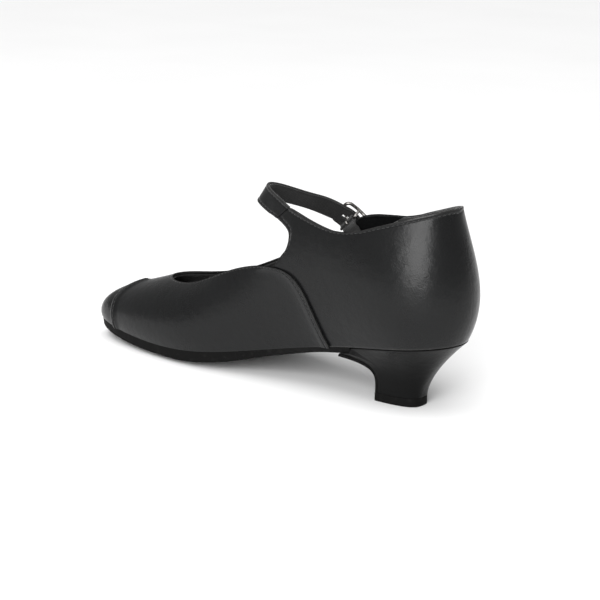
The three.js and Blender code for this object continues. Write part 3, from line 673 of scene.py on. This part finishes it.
def modelStitch():
    startFresh()
    bpy.ops.mesh.primitive_uv_sphere_add(segments=8, ring_count=6, radius=1)
    piece = bpy.context.object
    bpy.ops.object.mode_set(mode="EDIT")
    bpy.ops.mesh.select_all(action="SELECT")
    bpy.ops.transform.resize(value=(stitch["radius"], stitch["radius"], stitch["length"] / 2))
    bpy.ops.object.mode_set(mode="OBJECT")
    places = np.array([v.co for v in piece.data.vertices])
    # the ends turn down into the leather
    places[:, 0] -= stitch["turnDown"] * (places[:, 2] / (stitch["length"] / 2)) ** 4
    faces = [tuple(f.vertices) for f in piece.data.polygons]
    bpy.data.objects.remove(piece)
    return places, faces


stitchPlaces, stitchFaces = modelStitch()


def stitchRow(name, paths, body, slot):
    # paths: pairs of arrays, the places along a seam and the way out of the leather there
    places, faces = [], []
    for path, out in paths:
        run = lengthsAlong(path)
        stops = np.arange(stitch["pitch"] / 2, run[-1], stitch["pitch"])
        centres = np.stack([np.interp(stops, run, path[:, k]) for k in range(3)], axis=-1)
        ahead = np.stack([np.interp(stops + 0.3, run, path[:, k]) for k in range(3)], axis=-1)
        outs = unit(np.stack([np.interp(stops, run, out[:, k]) for k in range(3)], axis=-1))
        ways = unit(ahead - centres)
        for centre, way, face in zip(centres, ways, outs):
            if np.linalg.norm(way) < 0.5:
                continue
            side = np.cross(way, face)
            start = len(places) * len(stitchPlaces)
            base = centre + face * (stitch["radius"] * 0.35 - stitch["sink"])
            places.append(base + stitchPlaces @ np.array([face, side, way]))
            faces += [tuple(start + k for k in f) for f in stitchFaces]
    mesh = bpy.data.meshes.new(name)
    mesh.from_pydata(((np.concatenate(places) + lastOrigin) * mm).tolist(), [], faces)
    piece = bpy.data.objects.new(name, mesh)
    bpy.context.scene.collection.objects.link(piece)
    mesh.polygons.foreach_set("use_smooth", np.ones(len(mesh.polygons), bool))
    dress(piece, "thread", body, slot)
    return piece


def rowInside(spot, us, distance, lift, fromEnd=True):
    # the line that lies a set distance inside a panel's edge
    steps = np.array([0, distance])
    zero = np.array([0.0])
    u, v, _, _ = layRows(spot, us, zero if fromEnd else steps, steps if fromEnd else zero, 3)
    column = -2 if fromEnd else 1
    side, p, q = spot(u[:, column], v[:, column])
    normals = lastNormal(side, p, q)
    return lastPoint(side, p, q) + normals * np.reshape(lift, (-1, 1)), normals


print("last and helpers ready")

# the upper
upper = {
    "thick": 1.2,
    "capLap": 0.95,
    "sideLap": 1.3,
    "roll": 0.22,
    "groove": 0.22,
    "stitchLine": 2.0,
    "capUnder": 0.14,
    "tuckBack": 0.13,
    "tuckDown": 0.045,
}
stitchDepth = upper["groove"] * 0.6


def overSeam(w):
    # 1 along the side seam and 0 along the topline
    return 1 - ease(w, seamShare - 0.01, seamShare + 0.06)


def noLift(u, fromStart, fromEnd, side, p):
    return 0 * fromStart


def makeCap():
    settings = {"columns": 150, "rows": 50, "start": plainEdge, "end": plainEdge, "rimsAway": 9,
                "thick": upper["thick"], "round": 0.3}
    piece = skin("toeCap", settings, hood(shifted(capSeam, upper["capUnder"])), noLift)
    dress(piece, "capLeather", "shoe", "upper_leather", "toe_cap")


def vampLift(u, fromStart, fromEnd, side, p):
    overCap = upper["capLap"] * (1 - ease(fromStart, 0.5, 5.5))
    overQuarter = upper["sideLap"] * (1 - ease(fromEnd, 1.5, 8)) * overSeam(1 - np.abs(2 * u - 1))
    rims = [rimShape(edge, upper["roll"], upper["groove"]) for edge in (fromStart, fromEnd)]
    return overCap + overQuarter + sum(rims)


vampSpot = saddle(capSeam, vampRear)


def makeVamp():
    settings = {"columns": 260, "rows": 26, "start": fineEdge, "end": fineEdge,
                "thick": upper["thick"], "round": 0.35}
    piece = skin("vamp", settings, vampSpot, vampLift)
    dress(piece, "leather", "shoe", "upper_leather", "vamp")
    us = np.linspace(0.03, 0.97, 500)
    lap = upper["sideLap"] * overSeam(1 - np.abs(2 * us - 1)) - stitchDepth
    rear = rowInside(vampSpot, us, upper["stitchLine"], lap)
    front = rowInside(vampSpot, us, upper["stitchLine"], upper["capLap"] - stitchDepth, False)
    stitchRow("vampStitches", [rear, front], "shoe", "upper_leather")


def tuckedUnder(edge):
    # the quarter runs on under the vamp
    def at(u):
        tuck = ease(u, seamStart - 0.06, seamStart - 0.01) * (1 - ease(u, neckStart, neckStart + 0.05))
        down = tuck * ease(u, seamStart, neckStart)
        return edge(u) - np.stack([upper["tuckBack"] * tuck, upper["tuckDown"] * down], axis=-1)

    return at


def quarterLift(u, fromStart, fromEnd, side, p):
    onNeck = ease(u, neckStart + 0.01, neckStart + 0.06)
    rims = rimShape(fromEnd, upper["roll"], upper["groove"])
    return rims + onNeck * rimShape(fromStart, upper["roll"], upper["groove"])


def makeQuarter(name, node, side, bottom, top):
    spot = flank(side, tuckedUnder(bottom), top)
    settings = {"columns": 240, "rows": 34, "start": fineEdge, "end": fineEdge,
                "thick": upper["thick"], "round": 0.35}
    piece = skin(name, settings, spot, quarterLift)
    dress(piece, "leather", "shoe", "upper_leather", node)
    topRow = rowInside(spot, np.linspace(0.002, 0.985, 400), upper["stitchLine"], -stitchDepth)
    neckUs = np.linspace(neckStart + 0.05, 0.97, 120)
    neckRow = rowInside(spot, neckUs, upper["stitchLine"], -stitchDepth, False)
    stitchRow(name + "Stitches", [topRow, neckRow], "shoe", "upper_leather")


makeCap()
makeVamp()
makeQuarter("quarterInner", "quarter_inner", 1, innerBottom, innerTopline)
makeQuarter("quarterOuter", "quarter_outer", -1, outerBottom, outerTopline)
print("upper made")

# the lining
inside = {
    "depth": 1.32,
    "thick": 0.85,
    "stiffener": 1.28,
    "counterReach": 1.72,
    "outerShare": 16 / 26,
}


def liningLift(u, fromStart, fromEnd, side, p):
    toeStep = 1 - ease(p, 2.0, 2.5)
    heelStep = ease(p, back - inside["counterReach"] - 0.35, back - inside["counterReach"] - 0.02)
    overStiffener = np.maximum(toeStep, heelStep) * (0.4 + 0.6 * ease(fromEnd, 0.5, 4))
    return -inside["depth"] - inside["stiffener"] * overStiffener


def shortened(edge):
    # the outer quarter's lining ends before the tab
    return lambda u: edge(u * inside["outerShare"])


def makeLining(name, node, spot, columns):
    settings = {"columns": columns, "rows": 44, "start": plainEdge, "end": plainEdge,
                "thick": inside["thick"], "round": 0.25}
    piece = skin(name, settings, spot, liningLift)
    dress(piece, "lining", "shoe", "lining", node)


makeLining("vampLining", "vamp_lining", hood(shifted(vampRear, -0.03), 0.02), 150)
makeLining("quarterLiningInner", "quarter_lining_inner", flank(1, innerBottom, innerTopline), 150)
makeLining("quarterLiningOuter", "quarter_lining_outer",
           flank(-1, shortened(outerBottom), shortened(outerTopline)), 110)
print("lining made")

# the bottom
bottom = {
    "soleEnd": 6.12,
    "toeSole": 4.0,
    "sole": 5.3,
    "waist": 3.0,
    "ballEdge": 0.7,
    "belly": 2.4,
    "underFeather": 0.4,
    "inset": 0.4,
    "round": 0.7,
    "slant": 2.6,
    "sockHeight": 4.9,
    "sockThick": 0.8,
    "sockInset": 3.9,
    "sockEnds": (0.75, 7.965),
}


def plan(side, p, inset):
    t = around(side, p)
    return feather(t) - outward(t) * np.reshape(inset, np.shape(inset) + (1,))


def soleDepth(p, a):
    edge = bottom["toeSole"] + (bottom["sole"] - bottom["toeSole"]) * ease(p, 0.3, 2.6)
    edge = edge + bottom["ballEdge"] * ease(p, 3.2, 3.9) * (1 - ease(p, 4.2, 5))
    edge = edge + (bottom["waist"] - bottom["sole"]) * ease(p, 4.2, 5.8)
    belly = bottom["belly"] * ease(p, 0.8, 2.7) * (1 - ease(p, 4.3, 5.6))
    return edge + belly * (1 - a**2)


def plate(start, end, along, across, inset, heights):
    p, v = np.meshgrid(np.linspace(start, end, along + 1), np.linspace(0, 1, across + 1), indexing="ij")
    faces = []
    for height, inward in zip(heights, inset):
        left, right = (plan(side + 0 * p, p, inward(p)) for side in (-1, 1))
        level = left + (right - left) * v[..., None]
        faces.append(level + upward * height(p, 2 * v - 1)[..., None])
    return faces


def soleBottom(p, a):
    edge = feather(p)[..., 2]
    return np.maximum(-bottom["underFeather"] - soleDepth(p, a), -edge)


def soleUnderInset(p):
    # the edge slants inwards at the waist
    slant = bottom["slant"] * ease(p, 3.4, 5.2) * (1 - ease(p, 5.5, 6.1))
    return bottom["inset"] + bottom["round"] + slant


def sockInset(p):
    return bottom["sockInset"] + 0.9 * (1 - ease(p, 0.7, 1.9))


def sockCrown(p, a):
    return bottom["sockHeight"] + bottom["sockThick"] + 0.25 * (1 - a**4)


def evenly(value):
    return lambda p, a=0: value + 0 * p


def makeSole():
    insets = [soleUnderInset, evenly(bottom["inset"])]
    low, high = plate(0, bottom["soleEnd"], 190, 26, insets, [soleBottom, evenly(0.05)])
    piece = slab("outsole", low, high, 0.55, 3)
    dress(piece, "rubber", "shoe", "sole_rubber", "outsole")


def makeSock():
    faces = [evenly(bottom["sockHeight"]), sockCrown]
    low, high = plate(*bottom["sockEnds"], 150, 20, [sockInset, sockInset], faces)
    piece = slab("sockLiner", low, high, 0.3)
    dress(piece, "sock", "shoe", "sock", "sock_liner")


makeSole()
makeSock()

# the heel
heel = {
    "breast": 5.97,
    "bottom": 4.4,
    "sweep": 1.57,
    "sideSweep": 2.1,
    "dropFrom": 0.6,
    "tuckFrom": 0.919,
    "tuckEase": 0.006,
    "cover": 0.8,
    "flap": 1.3,
    "gap": 0.4,
    "shadow": 0.55,
    "bore": 0.3,
}
shaftRadii = {"heel_screw": 1.9, "heel_nail_1": 0.9, "heel_nail_2": 0.9, "heel_nail_3": 0.9,
              "heel_nail_4": 0.9, "top_piece_pin_1": 1.4, "top_piece_pin_2": 1.4}


def seatPoint(a, inset):
    p = back - (back - heel["breast"]) * np.abs(a)
    return plan(np.where(a < 0, -1.0, 1.0), p, inset + 0 * a) - upward * heel["shadow"]


def tipPoint(a, inset, front, z):
    turn = np.abs(a) * math.pi / 2
    rear = heelTip["back"] + inset
    x = front - (front - rear) * np.cos(turn) ** 0.75
    y = np.sign(a) * (heelTip["halfWidth"] - inset) * np.sin(turn) ** 0.65
    return np.stack([x, y, z + 0 * x], axis=-1)


def heelPoint(a, h, inset):
    low = tipPoint(a, inset, heelTip["front"], heel["bottom"])
    high = seatPoint(a, inset)
    pull = (h ** (heel["sweep"] + heel["sideSweep"] * a**2))[..., None]
    point = low + (high - low) * pull
    # forward of the sole's end the heel's top lies under the sole, and the side leads smoothly down to it
    share = np.abs(a)
    beside = 1 - ease(share, heel["tuckFrom"] - heel["tuckEase"], heel["tuckFrom"] + heel["tuckEase"])
    depth = soleDepth(back - (back - heel["breast"]) * share, 1) - 0.2
    drop = depth * ease(share, heel["dropFrom"], heel["tuckFrom"]) * h**2 * (1 - beside * h**8)
    point[..., 2] = low[..., 2] + (high[..., 2] - low[..., 2]) * h - drop
    return point


def makeHeel():
    a, h = np.meshgrid(np.linspace(-1, 1, 161), np.linspace(0, 1, 41), indexing="ij")
    piece = slab("heelCover", heelPoint(a, h, heel["cover"]), heelPoint(a, h, 0.0), 0.25)
    dress(piece, "shadedHeelLeather", "shoe", "upper_leather", "heel_cover")


def makeBlock():
    u, h = np.meshgrid(np.linspace(0, 1, 81), np.linspace(0, 1, 41), indexing="ij")
    inset = heel["cover"] + heel["gap"]
    piece = slab("heelBlock", heelPoint(-u, h, inset), heelPoint(u, h, inset), 0)
    cutters = []
    for nodeName, radius in shaftRadii.items():
        low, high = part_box(nodeName)
        startFresh()
        bore = (radius + heel["bore"]) * mm
        bpy.ops.mesh.primitive_cylinder_add(vertices=24, radius=bore, depth=high.z - low.z + mm)
        cutter = bpy.context.object
        cutter.data.transform(Matrix.Translation((low + high) / 2))
        cutters.append(cutter)
    punch(piece, cutters)
    smoothShade(piece)
    dress(piece, "plastic", "shoe", "heel_plastic", "heel_block")


def breastPoint(v, h, forward):
    def at(share, height):
        left, right = heelPoint(-1 + 0 * height, height, 0.0), heelPoint(1 + 0 * height, height, 0.0)
        return left + (right - left) * share[..., None]

    d = 1e-3
    level = np.clip(h, d, 1 - d)
    up = at(v, level + d) - at(v, level - d)
    across = at(0 * v + 1, h) - at(0 * v, h)
    return at(v, h) + unit(np.cross(across, up)) * forward


def makeFlap():
    v, h = np.meshgrid(np.linspace(0, 1, 25), np.linspace(0, 1, 61), indexing="ij")
    inner, outer = breastPoint(v, h, 0.15), breastPoint(v, h, heel["gap"] + heel["flap"])
    piece = slab("breastFlap", inner, outer, 0.3)
    dress(piece, "rubber", "shoe", "sole_rubber", "breast_flap")


def makeTopPiece():
    u, z = np.meshgrid(np.linspace(0, 1, 61), np.linspace(0, heelTip["height"] + 0.3, 9), indexing="ij")
    front = heelTip["front"] + heel["gap"] + heel["flap"]
    piece = slab("topPiece", tipPoint(-u, 0.0, front, z), tipPoint(u, 0.0, front, z), 0.35, 3)
    dress(piece, "rubber", "shoe", "sole_rubber", "top_piece")


makeHeel()
makeBlock()
makeFlap()
makeTopPiece()
print("bottom and heel made")

# the strap
strap = {
    "width": 10.6,
    "thick": 1.1,
    "lining": 0.6,
    "between": 0.4,
    "tail": 19.5,
    "wave": 1.1,
    "bar": 7.5,
    "tilt": 47,
    "reach": 3.4,
    "aside": 1.67,
    "height": 3.203,
    "stitchInset": 1.5,
    "lap": 0.5,
    "slot": 7.8,
    "slotRadius": 1.2,
    "slotAt": -1.2,
    "hole": 12.4,
    "holeRadius": 0.8,
    "cutDepth": 9,
    "fold": (0.3, 2.6),
}
seamLow = lastPoint(1, *strapSeam["low"])
seamHigh = lastPoint(1, *strapSeam["high"])


def levelWidth(tilt):
    lean = np.radians(tilt)
    return np.stack([-np.cos(lean), 0 * lean, np.sin(lean)], axis=-1)


def squared(width, way):
    return unit(width - way * (width * way).sum(-1, keepdims=True))


def above(side, p, q, lift):
    side, p, q = np.array([float(side)]), np.array([p]), np.array([q])
    return (lastPoint(side, p, q) + sideNormal(side, p, q) * lift)[0]


tailWay = unit(above(-1, 5.58, 0.48, 4.755) - above(-1, 5.39, 0.64, 3.14))
tailWidth = squared(levelWidth(np.array(strap["tilt"])), tailWay)
tailOut = np.cross(tailWidth, tailWay)
neckTip = lastPoint(-1, *((np.array(neckEnd["low"]) + np.array(neckEnd["high"])) / 2))
railPlace = (neckTip - tailWay * (strap["reach"] + strap["bar"]) + tailWidth * strap["aside"]
             + tailOut * strap["height"])


def onTail(s, lift):
    return railPlace + tailWay * s + tailOut * lift


def freePoint(along, side, height):
    return np.array([along * last["length"], side * last["ball"], height * last["peak"]])


strapRun = [
    ((seamLow + seamHigh) / 2, 41),
    (freePoint(0.519, 0.193, 0.82), 50),
    (freePoint(0.537, 0.022, 0.821), 60),
    (freePoint(0.508, -0.201, 0.78), 47),
    (freePoint(0.474, -0.334, 0.746), 48),
    (onTail(0, -strap["wave"]), strap["tilt"]),
    (onTail(strap["bar"], strap["wave"]), strap["tilt"]),
    (onTail(2 * strap["bar"], -strap["wave"]), strap["tilt"]),
    (onTail(strap["tail"], -strap["wave"]), strap["tilt"]),
]
strapLine = smoothCurve([[*place, tilt] for place, tilt in strapRun])
strapEnd = len(strapRun) - 1


def strapFrame(t):
    line = strapLine(t)
    way = unit(strapLine(t + 1e-3)[..., :3] - strapLine(t - 1e-3)[..., :3])
    width = squared(levelWidth(line[..., 3]), way)
    out = np.cross(width, way)
    reach = width * strap["width"] / 2
    alongSeam = (seamHigh - seamLow) / 2
    reach = reach + (alongSeam - reach) * (1 - ease(t, 0, 0.5))[..., None]
    return line[..., :3], reach, out


def strapPoint(t, v, depth):
    place, reach, out = strapFrame(t)
    return place + reach * v[..., None] - out * np.asarray(depth)[..., None]


def bandGrid(start, end, along, widths, narrow):
    t, v = np.meshgrid(np.linspace(start, end, along + 1), widths, indexing="ij")
    intoTip = np.maximum(0, t - strapEnd + 0.6) / 0.75
    return t, v * narrow * np.sqrt(1 - intoTip**2)


def bandWidths():
    edge = fineEdge[:12] / (strap["width"] / 2)
    middle = np.linspace(-1 + edge[-1], 1 - edge[-1], 7)[1:-1]
    return np.concatenate([-1 + edge, middle, (1 - edge)[::-1]])


def buckleMatrix():
    place = onTail(strap["bar"], barLift) + lastOrigin
    turn = Matrix((tailWay, -tailWidth, tailOut)).transposed().to_4x4()
    return Matrix.Translation(Vector(place) * mm) @ turn


def slotCutter():
    # a slot with round ends that lets the prong through
    startFresh()
    bpy.ops.mesh.primitive_cylinder_add(vertices=24, radius=strap["slotRadius"] * mm,
                                        depth=strap["cutDepth"] * mm)
    cutter = bpy.context.object
    half = strap["slot"] / 2 - strap["slotRadius"]
    for vertex in cutter.data.vertices:
        vertex.co.x += math.copysign(half * mm, vertex.co.x) + strap["slotAt"] * mm
        vertex.co.z += 4.1 * mm
    cutter.data.transform(buckleMatrix())
    return cutter


def holeCutter():
    # a spare hole nearer the tail's tip
    startFresh()
    bpy.ops.mesh.primitive_cylinder_add(vertices=20, radius=strap["holeRadius"] * mm,
                                        depth=strap["cutDepth"] * mm)
    cutter = bpy.context.object
    cutter.data.transform(Matrix.Translation(((strap["hole"] - strap["bar"]) * mm, 0, 3 * mm)))
    cutter.data.transform(buckleMatrix())
    return cutter


tabThick, barRadius, runGap = 0.7, 0.75, 0.3
strapStack = strap["thick"] + strap["between"] + strap["lining"]
barLift = strap["wave"] - strapStack - 2 * runGap - tabThick - barRadius


def makeStrap():
    t, v = bandGrid(-0.01, strapEnd, 190, bandWidths(), 1.0)
    distance = (1 - np.abs(v)) * strap["width"] / 2
    shape = rimShape(distance, 0.14, 0.2, strap["stitchInset"])
    lap = strap["lap"] * (1 - ease(t, 0.02, 0.25))
    outer = strapPoint(t, v, -shape - lap)
    inner = strapPoint(t, v, strap["thick"] - lap + 0 * t)
    piece = slab("strapBand", inner, outer, 0.28, rims=distance)
    punch(piece, [slotCutter(), holeCutter()])
    smoothShade(piece, 45)
    dress(piece, "strapLeather", None, "upper_leather", "strap")
    return piece


def makeStrapLining():
    t, v = bandGrid(0.02, strapEnd - 0.05, 150, np.linspace(-1, 1, 9), 0.955)
    top = strapPoint(t, v, strap["thick"] + 0.05 + 0 * t)
    base = strapPoint(t, v, strap["thick"] + 0.05 + strap["lining"] + 0 * t)
    piece = slab("strapLining", base, top, 0.15)
    punch(piece, [slotCutter()])
    smoothShade(piece, 45)
    dress(piece, "lining", None, "lining", "strap_lining")
    return piece


def makeStrapStitches():
    t = np.linspace(0.12, strapEnd - 0.5, 500)
    rows = []
    for edge in (-1, 1):
        v = np.full(t.shape, edge * (1 - strap["stitchInset"] * 2 / strap["width"]))
        place, reach, out = strapFrame(t)
        lift = strap["lap"] * (1 - ease(t, 0.02, 0.25)) - 0.12
        rows.append((strapPoint(t, v, -lift), out))
    v = np.linspace(-0.8, 0.8, 40)
    tip = np.full(v.shape, strapEnd - 0.42)
    rows.append((strapPoint(tip, v * 0.86, 0 * v + 0.1), strapFrame(tip)[2]))
    return stitchRow("strapStitches", rows, None, "upper_leather")


strapPieces = [makeStrap(), makeStrapLining(), makeStrapStitches()]
# the fold's two ends are worked out just past the seam, measured across the foot, because the strap turns
# back on itself; nothing in this script bends the strap at them
seamPlace = (seamLow + seamHigh) / 2 + lastOrigin
bendStart = (seamPlace - [0, strap["fold"][0], 0]) * mm
bendEnd = (seamPlace - [0, strap["fold"][1], 0]) * mm
for piece in strapPieces:
    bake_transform(piece)
print("strap made")

# the buckle, in its own frame: x down the tail, y towards the strap's lower edge, z out
buckle = {
    "rail": 0.9,
    "corner": 2.4,
    "arch": 1.3,
    "over": 0.75,
    "beside": 1,
    "prong": 0.55,
}
railLift = -strap["wave"] + buckle["over"] + buckle["rail"] - barLift
sideReach = strap["width"] / 2 + buckle["beside"] + buckle["rail"]
tab = {
    "width": 9.4,
    "reach": 7,
    "bend": 3.1,
    "under": 0.9,
    "leaves": (0.35, 1.05),
    "slope": 0.19,
    "twist": 0.145,
    "endAt": 18,
}


def rod(name, path, radii, closed=False):
    startFresh()
    curve = bpy.data.curves.new(name, "CURVE")
    curve.dimensions = "3D"
    curve.bevel_depth = mm
    curve.bevel_resolution = 5
    curve.use_fill_caps = not closed
    spline = curve.splines.new("POLY")
    spline.points.add(len(path) - 1)
    for point, place, radius in zip(spline.points, path, radii):
        point.co = (*(np.array(place) * mm), 1)
        point.radius = radius
    spline.use_cyclic_u = closed
    piece = bpy.data.objects.new(name, curve)
    bpy.context.scene.collection.objects.link(piece)
    choose(piece)
    bpy.ops.object.convert(target="MESH")
    piece = bpy.context.object
    cleanShell(piece, True)
    return piece


def joined(name, pieces):
    startFresh()
    for piece in pieces:
        piece.select_set(True)
    bpy.context.view_layer.objects.active = pieces[0]
    if len(pieces) > 1:
        bpy.ops.object.join()
    piece = bpy.context.object
    piece.name = piece.data.name = name
    piece.data.transform(buckleMatrix())
    smoothShade(piece, 55)
    return piece


def archAt(x):
    return railLift + buckle["arch"] * (1 - (x / strap["bar"]) ** 2)


def frameLoop():
    path = []
    reachX, reachY, corner = strap["bar"], sideReach, buckle["corner"]
    for sx, sy in [(1, 1), (-1, 1), (-1, -1), (1, -1)]:
        for turn in np.linspace(0, 1, 13):
            angle = (turn if sx == sy else 1 - turn) * math.pi / 2
            x = sx * (reachX - corner + corner * math.cos(angle))
            y = sy * (reachY - corner + corner * math.sin(angle))
            path.append((x, y))
    dense = []
    for k, (x, y) in enumerate(path):
        nextX, nextY = path[(k + 1) % len(path)]
        parts = 1 if math.hypot(nextX - x, nextY - y) < 1 else 8
        for j in range(parts):
            share = j / parts
            dense.append((x + (nextX - x) * share, y + (nextY - y) * share))
    return [(x, y, archAt(x)) for x, y in dense]


def makeBuckle():
    loop = frameLoop()
    frameRod = rod("buckleFrame", loop, [buckle["rail"]] * len(loop), closed=True)
    top = railLift + buckle["arch"]
    ys = np.linspace(-1, 1, 41)
    barPath = [(0, y * sideReach, top * ease(abs(y), 0.86, 1.0)) for y in ys]
    barRod = rod("buckleBar", barPath, [barRadius] * len(barPath))
    piece = joined("buckleFrame", [frameRod, barRod])
    dress(piece, "nickel", "buckle", "nickel", "buckle_frame")


def makeProng():
    ring = barRadius + 0.25 + buckle["prong"]
    angles = np.linspace(0, 2 * math.pi, 33)[:-1]
    ringPath = [(ring * math.cos(a), 0, ring * math.sin(a)) for a in angles]
    ringRod = rod("prongRing", ringPath, [buckle["prong"]] * len(ringPath), closed=True)
    over = railLift + buckle["rail"] + runGap + buckle["prong"]
    bar = strap["bar"]
    line = smoothCurve([[-0.3, 0, 1.5], [-0.4 * bar, 0, 2.9], [-bar, 0, over],
                        [-bar - 1.4, 0, over - 0.1]])
    ts = np.linspace(0, 3, 31)
    radii = buckle["prong"] * (1 - 0.25 * ease(ts, 1.5, 3)) * np.sqrt(1 - ease(ts, 2.85, 3.02) * 0.75)
    tongue = rod("prongTongue", line(ts), radii)
    piece = joined("buckleProng", [ringRod, tongue])
    dress(piece, "nickel", "prong", "nickel", "buckle_prong")


def tabLine():
    # round the bar and down into the shoe, both ends under the outer quarter
    middle = barRadius + runGap + tabThick / 2
    drop = strap["height"] + barLift + upper["thick"] + tab["under"]

    def leafRun(depth):
        xs = np.linspace(tab["bend"], tab["reach"], 5)
        return [[x, -drop - depth - tab["slope"] * (x - tab["bend"])] for x in xs]

    upperLeaf, lowerLeaf = (leafRun(depth) for depth in tab["leaves"])
    turns = np.radians([*range(-70, -311, -40), -345])
    loop = [[middle * math.cos(a), middle * math.sin(a)] for a in turns]
    return smoothCurve([*lowerLeaf[::-1], [1.6, -2.45], *loop, [1.75, -0.95], *upperLeaf])


def makeTab():
    line = tabLine()
    widths = np.linspace(-0.5, 0.5, 25) * tab["width"]
    ts, ys = np.meshgrid(np.linspace(0, tab["endAt"], 131), widths, indexing="ij")
    flat = line(ts)
    way = unit(line(ts + 1e-3) - line(ts - 1e-3))
    away = np.stack([way[..., 1], -way[..., 0]], axis=-1)
    tilt = tab["twist"] * ys * ease(flat[..., 0], 0.8, tab["bend"])

    def leaf(offset):
        place = flat + away * offset
        local = np.stack([place[..., 0], ys, place[..., 1] + tilt], axis=-1)
        return (onTail(strap["bar"], barLift) + local[..., :1] * tailWay - local[..., 1:2] * tailWidth
                + local[..., 2:] * tailOut)

    piece = slab("buckleTab", leaf(-tabThick / 2), leaf(tabThick / 2), 0.12)
    startFresh()
    bpy.ops.mesh.primitive_cube_add(size=1)
    cutter = bpy.context.object
    loopOuter = barRadius + runGap + tabThick
    sizes = Matrix.Diagonal(((2 * loopOuter + 0.9) * mm, 2.4 * mm, (2 * loopOuter + 1) * mm, 1))
    cutter.data.transform(Matrix.Translation((-0.35 * mm, 0, 0.5 * mm)) @ sizes)
    cutter.data.transform(buckleMatrix())
    punch(piece, [cutter])
    smoothShade(piece, 45)
    dress(piece, "elastic", "shoe", "webbing", "buckle_tab")


makeBuckle()
makeProng()
makeTab()
print("buckle made")

# floor and light
studio = {
    "world": 0.42,
    "sun": 1.9,
    "sunSpread": 60,
    "sunFrom": (-0.1, 0.15, 1.0),
    "key": {"size": 0.95, "power": 24.0, "turn": 112, "rise": 25, "distance": 1.5},
    "top": {"size": 0.7, "power": 2.0, "turn": 40, "rise": 70, "distance": 1.4},
}


def hangSoftbox(box):
    # a square lamp that looks at the shoe
    turn, rise = math.radians(box["turn"]), math.radians(box["rise"])
    way = Vector((math.cos(turn) * math.cos(rise), math.sin(turn) * math.cos(rise), math.sin(rise)))
    startFresh()
    bpy.ops.object.light_add(type="AREA", location=way * box["distance"] + Vector((0, 0, 0.05)))
    lamp = bpy.context.object
    lamp.rotation_euler = way.to_track_quat("Z", "Y").to_euler()
    lamp.data.size = box["size"]
    lamp.data.energy = box["power"]


def makeStudio():
    startFresh()
    bpy.ops.mesh.primitive_plane_add(size=60, location=(0, 0, -0.0002))
    floor = bpy.context.object
    floor.name = "floor"
    finish = Finish("paleFloor", Specular_IOR_Level=0.1)
    speckle = finish.noise(6, 2)
    shade = finish.colours(speckle, (0.86, 0.86, 0.86, 1), (0.9, 0.9, 0.9, 1))
    floor.data.materials.append(finish.show(Base_Color=shade, Roughness=0.75 + speckle * 0.1))
    world = bpy.data.worlds.new("studio")
    bpy.context.scene.world = world
    world.use_nodes = True
    world.node_tree.nodes["Background"].inputs["Color"].default_value = (1, 1, 1, 1)
    world.node_tree.nodes["Background"].inputs["Strength"].default_value = studio["world"]
    bpy.ops.object.light_add(type="SUN")
    sun = bpy.context.object
    sun.data.energy = studio["sun"]
    sun.data.angle = math.radians(studio["sunSpread"])
    sun.rotation_euler = Vector(studio["sunFrom"]).to_track_quat("Z", "Y").to_euler()
    hangSoftbox(studio["key"])
    hangSoftbox(studio["top"])
    bpy.context.scene.view_settings.view_transform = "Standard"


makeStudio()
print("studio made")
